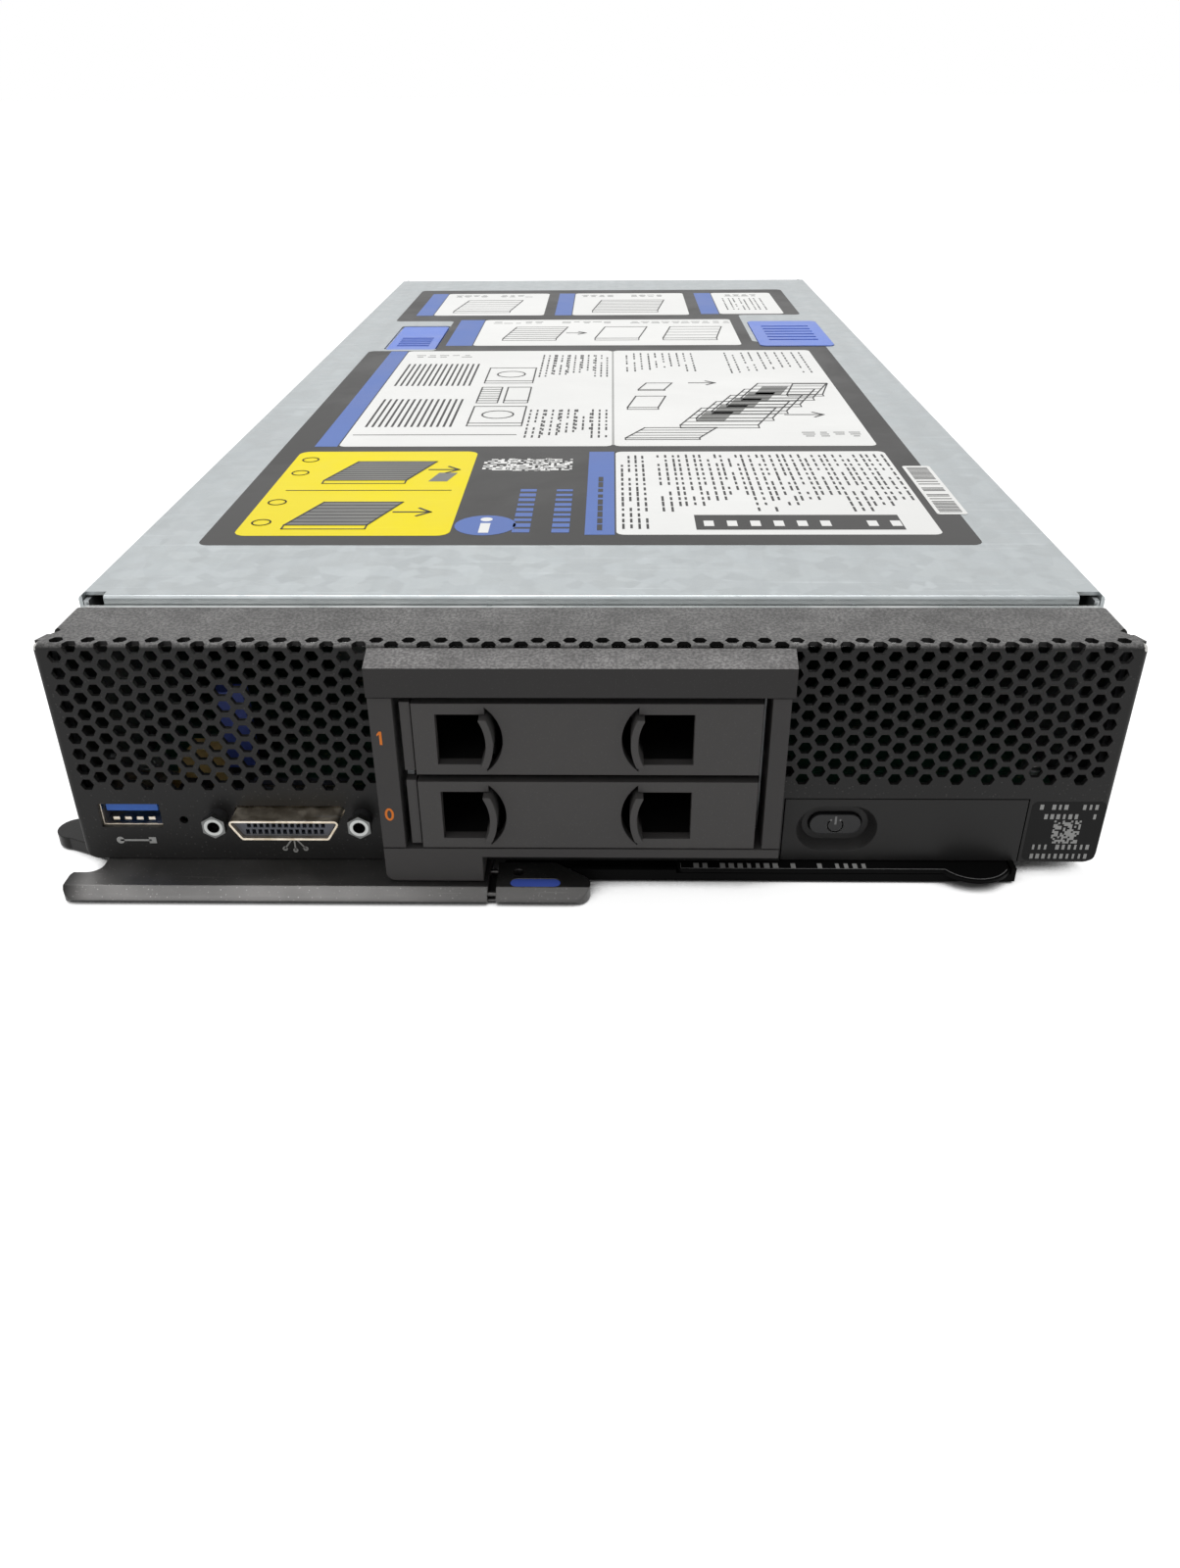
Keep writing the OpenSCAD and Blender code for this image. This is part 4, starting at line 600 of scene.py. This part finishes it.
# Painted shade: behind their front 1.55 mm the jack posts are painted black.
two_zones("jack_zones", "Y", JACK_LOW.y + 1.55 * MM,
          ((0.17, 0.173, 0.17), 1.0, 0.32), ((0.02, 0.02, 0.021), 0.0, 0.45))
two_zones("tongue_zones", "Z", TONGUE_HIGH.z - 1.85 * MM,
          ((0.012, 0.012, 0.012), 0.0, 0.5), ((0.025, 0.16, 0.68), 0.0, 0.35))
print("touch point, jack and tongue finishes made")

# %% [markdown]
# ## Hand the finishes out
# Each solid takes one finish. The table is written finish first, which reads like a paint plan. At
# the end the script stops if a solid has been forgotten.

# %% Paint plan
PAINT_PLAN = {
    "bezel_coat": "front_bezel",
    "cover_zinc": "top_cover",
    "pan_zinc": "base_pan rear_bulkhead",
    "plated_steel": "front_rail lever_pivot_pin board_screws board_standoffs adapter_posts"
                    " sink_screws guide_sockets cover_catch",
    "bay_plastic": "bay_surround",
    "filler_plastic": "filler_upper filler_lower finger_tab_upper_left finger_tab_upper_right"
                      " finger_tab_lower_left finger_tab_lower_right",
    "button_plastic": "power_button reset_switch",
    "panel_plastic": "power_panel",
    "tray_black": "label_tray label_tab",
    "jack_zones": "jack_posts",
    "cast_lever": "lever_arm lever_latch latch_guide_pins",
    "touch_blue": "latch_pad",
    "cover_blue": "cover_release cover_pad",
    "tongue_zones": "usb_tongue",
    "port_tin": "usb_shell console_shell",
    "port_insert": "console_insert",
    "touch_point_zones": "touch_point",
    "inner_metal": "drive_cage bezel_screws cage_screws",
    "fin_metal": "heat_sink_front heat_sink_rear chipset_sink",
    "board_green": "system_board button_board drive_backplane dimms_left dimms_right"
                   " adapter_left adapter_right",
    "socket_black": "drive_connectors cpu_socket_front cpu_socket_rear dimm_sockets_left"
                    " dimm_sockets_right air_baffle power_coils power_connector signal_connector"
                    " fabric_connectors",
    "coin_steel": "coin_cell",
}


def paint_solids():
    painted = set()
    for finish, names in PAINT_PLAN.items():
        for name in names.split():
            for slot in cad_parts[name].material_slots:
                slot.material = finishes[finish]
            painted.add(name)
    missing = set(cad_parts) - painted
    assert not missing, f"no finish for {sorted(missing)}"
    return len(painted)


print("solids painted:", paint_solids())

# %% [markdown]
# ## Flat prints
# Labels and printed marks are thin closed sheets, a few hundredths of a millimetre thick. A stack of
# them lies in layers, so that no two surfaces share one plane. Outlines are drawn flat first, then
# a matrix lays them on the cover, on the front or on the tab.

# %% Print helpers
LAYER = 0.04 * MM
ON_COVER = Matrix.Translation((0, BEZEL_LOW.y, COVER_TOP))
UPRIGHT = Matrix.Rotation(math.pi / 2, 4, "X")
STRAIGHT = 0.02
RING_START, RING_END = 90.5, 449.5


def on_front(behind):
    """Lays a drawing upright, facing the viewer, at a distance behind the bezel's face."""
    return Matrix.Translation(spot(0, behind, 0)) @ UPRIGHT


def rounded(points, radius, steps=4):
    """A closed outline with its corners rounded by short arcs. A nearly straight corner is left."""
    made = []
    count = len(points)
    for index, point in enumerate(points):
        corner = Vector(point)
        before = (Vector(points[index - 1]) - corner).normalized()
        after = (Vector(points[(index + 1) % count]) - corner).normalized()
        half = before.angle(after) / 2
        if radius <= 0 or half > math.pi / 2 - STRAIGHT:
            made.append(corner)
            continue
        reach_back = radius / math.tan(half)
        centre = corner + (before + after).normalized() * (radius / math.sin(half))
        start = corner + before * reach_back - centre
        end = corner + after * reach_back - centre
        for step in range(steps + 1):
            arm = start.lerp(end, step / steps).normalized() * radius
            made.append(centre + arm)
    return made


def block(x0, y0, x1, y1, radius=0.0):
    """A rectangle between two corners."""
    return rounded([(x0, y0), (x1, y0), (x1, y1), (x0, y1)], radius)


def add_sheet(shape, outline, low, high):
    """Adds one closed flat sheet, from an outline in millimetres, between two heights in metres."""
    bottom = [shape.verts.new((p[0] * MM, p[1] * MM, low)) for p in outline]
    top = [shape.verts.new((p[0] * MM, p[1] * MM, high)) for p in outline]
    shape.faces.new(bottom[::-1])
    shape.faces.new(top)
    count = len(outline)
    for index in range(count):
        after = (index + 1) % count
        shape.faces.new((bottom[index], bottom[after], top[after], top[index]))


def as_piece(name, shape, laid, finish, body):
    """Turns a bmesh into a finished piece that rides on a body."""
    bmesh.ops.recalc_face_normals(shape, faces=shape.faces)
    mesh = bpy.data.meshes.new(name)
    shape.to_mesh(mesh)
    shape.free()
    mesh.transform(laid)
    mesh.materials.append(finishes[finish])
    piece = new_object(name, mesh)
    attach(piece, body)


def printed_sheets(name, outlines, layer, finish, laid=ON_COVER, body="cover"):
    """One piece of flat print: closed sheets that share a layer, an ink and a body."""
    shape = bmesh.new()
    for outline in outlines:
        add_sheet(shape, outline, layer * LAYER, (layer + 1) * LAYER)
    as_piece(name, shape, laid, finish, body)


def stroke(path, width):
    """Outlines of short bars that follow a path of points."""
    bars = []
    for start, end in zip(path[:-1], path[1:]):
        a, b = Vector(start), Vector(end)
        along = (b - a).normalized() * (width / 2)
        across = Vector((-along.y, along.x))
        bars.append([a - along - across, b + along - across, b + along + across, a - along + across])
    return bars


def arc(x, y, radius, start, end, steps=20):
    """Points on an arc, with its angles in degrees."""
    turns = [math.radians(start + (end - start) * i / steps) for i in range(steps + 1)]
    return [(x + radius * math.cos(t), y + radius * math.sin(t)) for t in turns]


def flat_ring(x, y, outer, inner):
    """A ring as one outline, which stays one by a hair of a gap."""
    return arc(x, y, outer, RING_START, RING_END, 28) + arc(x, y, inner, RING_END, RING_START, 28)


print("layer thickness", LAYER)

# %% [markdown]
# ## Inks and label stock
# The label is printed on a satin film, so its black, white, blue and yellow share one gloss and
# differ in colour. The marks on the front are screen printed and sit matt on the paint.

# %% Ink finishes
def ink(name, colour, other, rough=0.48):
    plain_finish(name, colour, other, rough, grain=500.0, height=0.000003, stain=18.0, scratch=0.08,
                 shine=0.16)


ink("label_black", (0.041, 0.04, 0.039), (0.05, 0.049, 0.048))
ink("label_white", (0.75, 0.75, 0.735), (0.8, 0.8, 0.785))
ink("label_blue", (0.09, 0.15, 0.4), (0.11, 0.18, 0.45))
ink("label_yellow", (0.8, 0.66, 0.001), (0.84, 0.7, 0.002))
ink("label_grey", (0.32, 0.32, 0.31), (0.42, 0.42, 0.41))
ink("label_shade", (0.16, 0.16, 0.155), (0.22, 0.22, 0.21))
ink("label_line", (0.03, 0.03, 0.03), (0.05, 0.049, 0.048))
ink("digit_orange", (0.9, 0.23, 0.035), (0.95, 0.28, 0.05), 0.5)
ink("sign_grey", (0.42, 0.42, 0.41), (0.5, 0.5, 0.49), 0.5)
ink("sign_dim", (0.3, 0.3, 0.3), (0.36, 0.36, 0.36), 0.5)
ink("corner_black", (0.004, 0.004, 0.004), (0.006, 0.006, 0.006), 0.5)
ink("corner_pale", (0.4, 0.4, 0.39), (0.5, 0.5, 0.49), 0.5)
print("inks ready")

# %% [markdown]
# ## The service label
# The whole top of the cover is taken up by one film label. It has a black ground with fields of
# white, blue and yellow, and notches round the blue latch and the push pad. The fields here carry a
# plain design of their own. Separate sheets per ink are simpler than one painted texture.

# %% Label fields
LABEL_GROUND = [(-91, 54), (90, 54), (90, 298), (62, 298), (62, 362), (90, 362), (90, 436),
                (-91, 436), (-91, 348), (-65, 348), (-65, 281), (-91, 281)]
WHITE_FIELDS = [
    block(6, 61, 82.5, 133, 2), block(-75, 139, 5, 280, 2), block(5.6, 139, 82, 280, 2),
    block(-51, 291, 57, 350, 2), block(-76, 362, -26, 425, 2), block(-13, 362, 40, 425, 2),
    block(54, 364, 83, 425, 2), block(84.5, 76, 92, 118, 0.8)]
BLUE_FIELDS = [
    block(-1.5, 61, 5.6, 133), block(-82, 139, -75.4, 280), block(-62, 291, -51.4, 350),
    block(-84, 362, -76.4, 425), block(-21, 362, -13.4, 425), block(45.5, 364, 53.6, 425),
    arc(-25.5, 68, 7.4, 0, 345, 23)]

printed_sheets("label_ground", [rounded(LABEL_GROUND, 2.5)], 0, "label_black")
printed_sheets("label_white_fields", WHITE_FIELDS, 1, "label_white")
printed_sheets("label_blue_fields", BLUE_FIELDS, 1, "label_blue")
printed_sheets("label_yellow_field", [block(-84.5, 60.4, -33.4, 133.5, 3)], 1, "label_yellow")
printed_sheets("label_seam_line", [block(5.05, 140, 5.55, 279)], 2, "label_grey")
print("white fields:", len(WHITE_FIELDS), "blue fields:", len(BLUE_FIELDS))

# %% [markdown]
# ## Rows of small print
# Small print is too fine to read from here, so it is built as rows of short bars of uneven length.
# Geometry Nodes suit this: a grid gives the places, a seeded random choice leaves gaps, and a bar is
# put on each point that is left. The same tree makes tables, memory banks and a block mosaic.

# %% The printed rows tree
def rows_tree():
    tree = bpy.data.node_groups.new("printed_rows", "GeometryNodeTree")
    sockets = [("Columns", "NodeSocketInt", 8), ("Rows", "NodeSocketInt", 8),
               ("Block Width", "NodeSocketFloat", 0.02), ("Block Height", "NodeSocketFloat", 0.02),
               ("Mark Length", "NodeSocketFloat", 0.002), ("Mark Width", "NodeSocketFloat", 0.0005),
               ("Thickness", "NodeSocketFloat", LAYER), ("Filled Share", "NodeSocketFloat", 0.8),
               ("Shortest", "NodeSocketFloat", 0.5), ("Seed", "NodeSocketInt", 1),
               ("Ink", "NodeSocketMaterial", None)]
    for label, kind, value in sockets:
        socket = tree.interface.new_socket(name=label, in_out="INPUT", socket_type=kind)
        if value is not None:
            socket.default_value = value
    tree.interface.new_socket(name="Geometry", in_out="OUTPUT", socket_type="NodeSocketGeometry")
    given = node(tree, "NodeGroupInput").outputs
    seed = given["Seed"]
    grid = node(tree, "GeometryNodeMeshGrid", {
        "Vertices X": given["Columns"], "Size X": given["Block Width"],
        "Vertices Y": given["Rows"], "Size Y": given["Block Height"]})
    keep = node(tree, "FunctionNodeRandomValue", {"Probability": given["Filled Share"], "Seed": seed},
                data_type="BOOLEAN")
    drop = node(tree, "FunctionNodeBooleanMath", {0: typed(keep.outputs, "BOOLEAN")}, operation="NOT")
    left = node(tree, "GeometryNodeDeleteGeometry", {"Geometry": grid.outputs["Mesh"],
                                                     "Selection": drop.outputs[0]})
    size = node(tree, "CombineXYZ", {"X": given["Mark Length"], "Y": given["Mark Width"],
                                     "Z": given["Thickness"]})
    bar = node(tree, "GeometryNodeMeshCube", {"Size": size.outputs[0]})
    length = node(tree, "FunctionNodeRandomValue", {"Seed": seed}, data_type="FLOAT")
    tree.links.new(given["Shortest"], typed(length.inputs, "VALUE", "Min"))
    typed(length.inputs, "VALUE", "Max").default_value = 1.0
    scale = node(tree, "CombineXYZ", {"X": typed(length.outputs, "VALUE"), "Y": 1, "Z": 1})
    place = node(tree, "GeometryNodeInstanceOnPoints", {
        "Points": left.outputs[0], "Instance": bar.outputs["Mesh"], "Scale": scale.outputs[0]})
    realize = node(tree, "GeometryNodeRealizeInstances", {0: place.outputs[0]})
    coat = node(tree, "GeometryNodeSetMaterial", {"Geometry": realize.outputs[0],
                                                  "Material": given["Ink"]})
    node(tree, "NodeGroupOutput", {0: coat.outputs[0]})
    return tree


ROWS = rows_tree()
ROW_INPUT = {item.name: item.identifier for item in ROWS.interface.items_tree
             if item.in_out == "INPUT"}
print("row inputs:", list(ROW_INPUT))

# %% A block of rows as one plain mesh
FIRST_SEED = 3


def rows_mesh(name, columns, rows, width, height, mark, filled, shortest, seed, finish):
    """Evaluates the tree once and keeps the plain mesh. A mark is a bar's length and width."""
    holder = new_object(name, bpy.data.meshes.new(name))
    modifier = holder.modifiers.new("rows", "NODES")
    modifier.node_group = ROWS
    values = {"Columns": columns, "Rows": rows, "Block Width": width * MM, "Block Height": height * MM,
              "Mark Length": mark[0] * MM, "Mark Width": mark[1] * MM, "Thickness": LAYER,
              "Filled Share": filled, "Shortest": shortest, "Seed": seed, "Ink": finishes[finish]}
    for label, value in values.items():
        modifier[ROW_INPUT[label]] = value
    ready = holder.evaluated_get(bpy.context.evaluated_depsgraph_get())
    mesh = bpy.data.meshes.new_from_object(ready)
    bpy.data.objects.remove(holder)
    return mesh


def printed_rows(name, blocks, layer, finish, laid=ON_COVER, body="cover"):
    """Joins blocks of rows into one piece. A block is x, y, its quarter turns and its pattern."""
    shape = bmesh.new()
    for index, (x, y, turned, pattern) in enumerate(blocks):
        mesh = rows_mesh(name, *pattern, index + FIRST_SEED, finish)
        quarter = Matrix.Rotation(math.pi / 2 * turned, 4, "Z")
        mesh.transform(Matrix.Translation((x * MM, y * MM, (layer + 0.5) * LAYER)) @ quarter)
        shape.from_mesh(mesh)
        bpy.data.meshes.remove(mesh)
    as_piece(name, shape, laid, finish, body)


def words(columns, rows, width, height, filled=0.86):
    """A paragraph: short bars of uneven length with gaps between them."""
    length = width / columns * 0.92
    mark = (length, height / max(rows, 1) * 0.42)
    return (columns, rows, width - length, height, mark, filled, 0.45)


def table(columns, rows, width, height):
    """An even block: every bar the same length and none left out."""
    length = width / columns * 0.8
    return (columns, rows, width - length, height, (length, height / rows * 0.4), 1.0, 1.0)


def mosaic(cells, size, filled=0.52):
    """A square of cells that touch, of which about half are filled."""
    pitch = size / cells
    return (cells, cells, size - pitch, size - pitch, (pitch, pitch), filled, 1.0)


print("patterns ready")

# %% [markdown]
# ## What the label carries
# The white fields hold paragraphs set along the depth of the blade, a plan of two memory banks, and
# a few outline drawings of boxes. The drawings are made of strokes, short bars that follow a path.
# They are generic shapes and stand for nothing in particular.

# %% Small print on the label
WORD_PITCH = 4.4
LINE_PITCH = 1.45


def text_lines(x, y, length, lines, turned=1):
    """A few fine lines of print, set along the depth of the cover or across it."""
    columns = max(3, round(length / WORD_PITCH))
    return (x, y, turned, words(columns, lines, length, lines * LINE_PITCH, 0.9))


def columns_of_text(x0, x1, y, count, longest, lines):
    """Groups of lines side by side, no two of quite the same length."""
    groups = []
    for index in range(count):
        x = x0 + (x1 - x0) * index / (count - 1)
        length = longest * (1 - 0.13 * ((index * 5) % 4) / 1.5)
        groups.append(text_lines(x, y + (longest - length) / 2, length, lines))
    return groups


LINE_BLOCKS = columns_of_text(20, 79, 104, 11, 52, 3) + [text_lines(10.6, 97, 64, 4)]
LINE_BLOCKS += columns_of_text(-19, 1, 252, 5, 40, 3) + columns_of_text(-19, 1, 166, 5, 36, 3)
LINE_BLOCKS += columns_of_text(12, 34, 258, 5, 34, 2) + columns_of_text(50, 76, 257, 5, 38, 2)
LINE_BLOCKS += [text_lines(71, 152, 18, 3, 0), text_lines(-60, 270, 22, 2, 0)]
LINE_BLOCKS += [text_lines(x, 343, 22, 2, 0) for x in (-36, -6, 24, 46)]
LINE_BLOCKS += [text_lines(x, 417, 16, 3, 0) for x in (-64, -42, -2, 22, 68)]
LINE_BLOCKS += [text_lines(x, 392, 34, 2) for x in (60, 65, 70, 75)]
LINE_BLOCKS.append((88.2, 97, 0, (1, 34, 0, 38, (5.6, 0.55), 0.8, 1.0)))
BANKS = [(-58, y, 1, table(1, 14, 46, 26)) for y in (237, 180)]
printed_rows("label_small_print", LINE_BLOCKS, 2, "label_line")
printed_rows("label_banks", BANKS, 2, "label_line")
BLUE_WORDS = (9, 2, 32, 9.4, (2.9, 4.2), 1.0, 0.55)
printed_rows("label_blue_print", [(-12, 80, 1, BLUE_WORDS)], 1, "label_blue")
printed_rows("label_strip_print", [(2, 86, 1, words(9, 1, 44, 3, 1.0))], 2, "label_black")
printed_rows("label_mosaic", [(-25.2, 120, 0, mosaic(12, 11)), (-18, 120, 0, mosaic(14, 12)),
                              (-11.5, 120, 0, mosaic(15, 11))], 1, "label_white")
print("blocks of lines:", len(LINE_BLOCKS), "memory banks:", len(BANKS))

# %% Outline drawings on the label
def slab(x, y, wide, deep, lean):
    """The outline of a flat box seen at a slant, with a line along its near edge."""
    corners = [(x, y), (x + wide, y), (x + wide + lean, y + deep), (x + lean, y + deep), (x, y)]
    lower = [(x, y), (x, y - deep * 0.16), (x + wide, y - deep * 0.16), (x + wide, y)]
    return stroke(corners, 0.5) + stroke(lower, 0.4)


def slab_top(x, y, wide, deep, lean):
    """The same slant as a filled shape."""
    return [(x, y), (x + wide, y), (x + wide + lean, y + deep), (x + lean, y + deep)]


def slats(x, y, wide, deep, lean, count):
    """Lines across the top of a slanted box."""
    bars = []
    for index in range(1, count):
        left, height = x + lean * index / count, y + deep * index / count
        bars += stroke([(left, height), (left + wide, height)], 0.35)
    return bars


def slatted(x, y, wide, deep, lean, count):
    """A slanted box with lines across its top."""
    return slab(x, y, wide, deep, lean) + slats(x, y, wide, deep, lean, count)


def arrow(x, y, length, head=3.0):
    tip = x + length
    shaft_and_wing = stroke([(x, y), (tip, y), (tip - head, y + head)], 0.7)
    return shaft_and_wing + stroke([(tip, y), (tip - head, y - head)], 0.7)


yellow_art = slatted(-74, 68, 20, 18, 6, 7) + slatted(-72, 105, 22, 18, 6, 9)
yellow_art += arrow(-49, 78, 9) + arrow(-45, 115, 8) + stroke([(-80, 96), (-37, 96)], 0.35)
for step_y in (70, 86, 112, 125):
    yellow_art += stroke(arc(-80, step_y, 2.2, 0, 360), 0.4)
filled_art = [slab_top(-74, 68, 20, 18, 6), slab_top(-72, 105, 22, 18, 6), slab_top(-44, 104, 5, 8, 2)]
filled_art += [slab_top(31 + 5.5 * level, 168 + 9 * level, 9, 12, 4) for level in range(5)]
plan_art = []
for middle_y in (177, 237):
    plan_art += slab(-40, middle_y - 11, 17, 22, 0) + stroke(arc(-31.5, middle_y, 5, 0, 360), 0.5)
plan_art += slatted(-40, 196, 7, 20, 0, 6) + slab(-31, 196, 8, 20, 0)
plan_art += stroke([(-73, 152), (-24, 152)], 0.4)
for level in range(5):
    plan_art += slatted(26 + 5.5 * level, 163 + 9 * level, 24, 22, 8, 5)
plan_art += slatted(9, 148, 22, 12, 6, 4) + slab(10, 186, 10, 16, 3)
plan_art += slab(14, 212, 9, 10, 3) + arrow(60, 176, 12) + arrow(32, 222, 9) + slab(64, 204, 12, 16, 4)
plan_art += slatted(-40, 306, 22, 26, 4, 6) + arrow(-14, 318, 8)
plan_art += slab(-2, 306, 18, 26, 4) + slatted(26, 306, 22, 26, 4, 4)
plan_art += slatted(-68, 374, 26, 30, 4, 5) + slatted(-4, 374, 30, 30, 4, 7)
printed_sheets("label_filled_drawing", filled_art, 2, "label_shade")
printed_sheets("label_yellow_drawing", yellow_art, 3, "label_line")
printed_sheets("label_plan_drawing", plan_art, 3, "label_line")
printed_sheets("label_light_bar", [block(25, 64.5, 74.5, 75.5)], 2, "label_black")
bar_signs = [block(27 + 5.6 * i, 67, 29.4 + 5.6 * i, 71) for i in range(9) if i != 6]
printed_sheets("label_light_bar_signs", bar_signs, 3, "label_white")
sign_art = stroke([(-25.5, 63.6), (-25.5, 68.2)], 2.4) + [arc(-25.5, 72.2, 1.5, 0, 330, 11)]
printed_sheets("label_round_sign", sign_art, 2, "label_white")
print("outline bars:", len(yellow_art) + len(plan_art))

# %% [markdown]
# ## Marks on the front
# The bays are numbered 1 and 0 in orange on the left post of their frame. The button carries the
# usual power sign, a broken ring with a bar. A small dark label sits at the lower right corner.
# The numbers are drawn as plain outlines like the rest, so they need no font. Two bits of trim are
# made the same way: bright rims on the jack posts, and the contact springs of the bus port.

# %% Bay numbers
PILLAR_FRONT = -8.2
DIGIT_TALL = 2.9


def upright_one(x, z, tall):
    """The outline of a digit 1 with its flag."""
    half, arm, thick = tall / 2, tall * 0.24, tall * 0.085
    return [(x - thick, z - half), (x + thick, z - half), (x + thick, z + half), (x - thick, z + half),
            (x - arm, z + half * 0.6), (x - arm, z + half * 0.3), (x - thick, z + half * 0.58)]


def round_zero(x, z, tall):
    """The outline of a digit 0: an oval ring, with a hair of a gap so that it stays one outline."""
    outer = arc(0, 0, 1, RING_START, RING_END, 28)
    inner = arc(0, 0, 1, RING_END, RING_START, 28)
    half, wide, wall = tall / 2, tall * 0.31, tall * 0.16
    return [(x + px * wide, z + pz * half) for px, pz in outer] + [
        (x + px * (wide - wall), z + pz * (half - wall)) for px, pz in inner]


DIGITS = {"bay_number_1": upright_one(-39.46, 33.7, DIGIT_TALL),
          "bay_number_0": round_zero(-39.35, 16.4, DIGIT_TALL)}
for digit, outline in DIGITS.items():
    printed_sheets(digit, [outline], 0, "digit_orange", on_front(PILLAR_FRONT), "chassis")
print("bay numbers lie", -PILLAR_FRONT, "mm ahead of the bezel's face")

# %% Power sign and port signs
button_x, button_face, button_z = front_middle("power_button")
power_art = stroke(arc(button_x, button_z - 0.2, 1.6, 128, 412), 0.4)
power_art += stroke([(button_x, button_z + 0.2), (button_x, button_z + 1.75)], 0.4)
printed_sheets("power_sign", power_art, 0, "sign_dim", on_front(button_face), "power_button")
port_art = []
for foot, drop in ((-64.1, 2.6), (-61.9, 2.2), (-59.7, 2.6)):
    port_art += stroke([(-61.9, 5.6), (foot, drop)], 0.32)
    port_art.append(arc(foot, drop, 0.55, 0, 330, 11))
printed_sheets("network_sign", port_art, 0, "sign_grey", on_front(0), "chassis")
plain_art = stroke([(-98.6, 4.6), (-92.4, 4.6)], 0.42) + [arc(-98.8, 4.6, 0.85, 0, 330, 11)]
plain_art.append(block(-92.7, 3.85, -91.2, 5.35))
printed_sheets("port_sign", plain_art, 0, "sign_grey", on_front(0), "chassis")
print("button centre", round(button_x, 2), round(button_z, 2))

# %% Bright rims on the jack posts and springs in the bus port
JACK_HALF_PITCH = 15.05
RIM_OUTER, RIM_INNER = 1.95, 1.32
SPRING_PITCH, SPRING_WIDE, SPRING_TALL, SPRING_RISE = 2.5, 1.4, 0.75, 0.35

jack_x, jack_face, jack_z = front_middle("jack_posts")
jack_rims = [flat_ring(jack_x + side * JACK_HALF_PITCH, jack_z, RIM_OUTER, RIM_INNER)
             for side in (-1, 1)]
printed_sheets("jack_rims", jack_rims, 0, "jack_rim", on_front(jack_face), "chassis")
spring_x, tongue_face, tongue_z = front_middle("usb_tongue")
spring_z = (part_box("usb_tongue")[0].z - BEZEL_LOW.z) / MM + SPRING_RISE
spring_lefts = [spring_x + (index - 1.5) * SPRING_PITCH - SPRING_WIDE / 2 for index in range(4)]
springs = [block(left, spring_z, left + SPRING_WIDE, spring_z + SPRING_TALL) for left in spring_lefts]
printed_sheets("bus_springs", springs, 0, "port_tin", on_front(tongue_face), "chassis")
print("rims at", round(jack_x, 2), round(jack_z, 2), "tongue at", round(spring_x, 2), round(tongue_z, 2))

# %% Print on the pull-out tab
ON_TAB = Matrix.Translation((0, BEZEL_LOW.y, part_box("label_tab")[1].z))
TAB_EDGE = [(19.6, -1.0), (19.6, -2.8), (73.4, -2.8)] + arc(81.2, 1.3, 7.6, 213, 327, 14)
printed_sheets("tab_outline", stroke(TAB_EDGE, 0.12), 0, "sign_dim", ON_TAB, "label_tab")
TAB_WORDS = (21, 1, 37, 0, (1.2, 1.7), 0.88, 0.55)
printed_rows("tab_print", [(39.5, -1.75, 0, TAB_WORDS)], 0, "corner_pale", ON_TAB, "label_tab")
print("tab print placed")

# %% Corner label
printed_sheets("corner_label", [block(91.2, 0.4, 106.4, 14.8, 1.2)], 0, "corner_black", on_front(0),
               "chassis")
CORNER_ROWS = (10, 2, 11.2, 2.3, (0.8, 1.2), 0.88, 0.5)
printed_rows("corner_label_print", [(98.8, 12.4, 0, CORNER_ROWS), (98.8, 2.6, 0, CORNER_ROWS),
                                    (99.2, 7.5, 0, mosaic(13, 5.6))],
             1, "corner_pale", on_front(0), "chassis")
print("corner label placed")
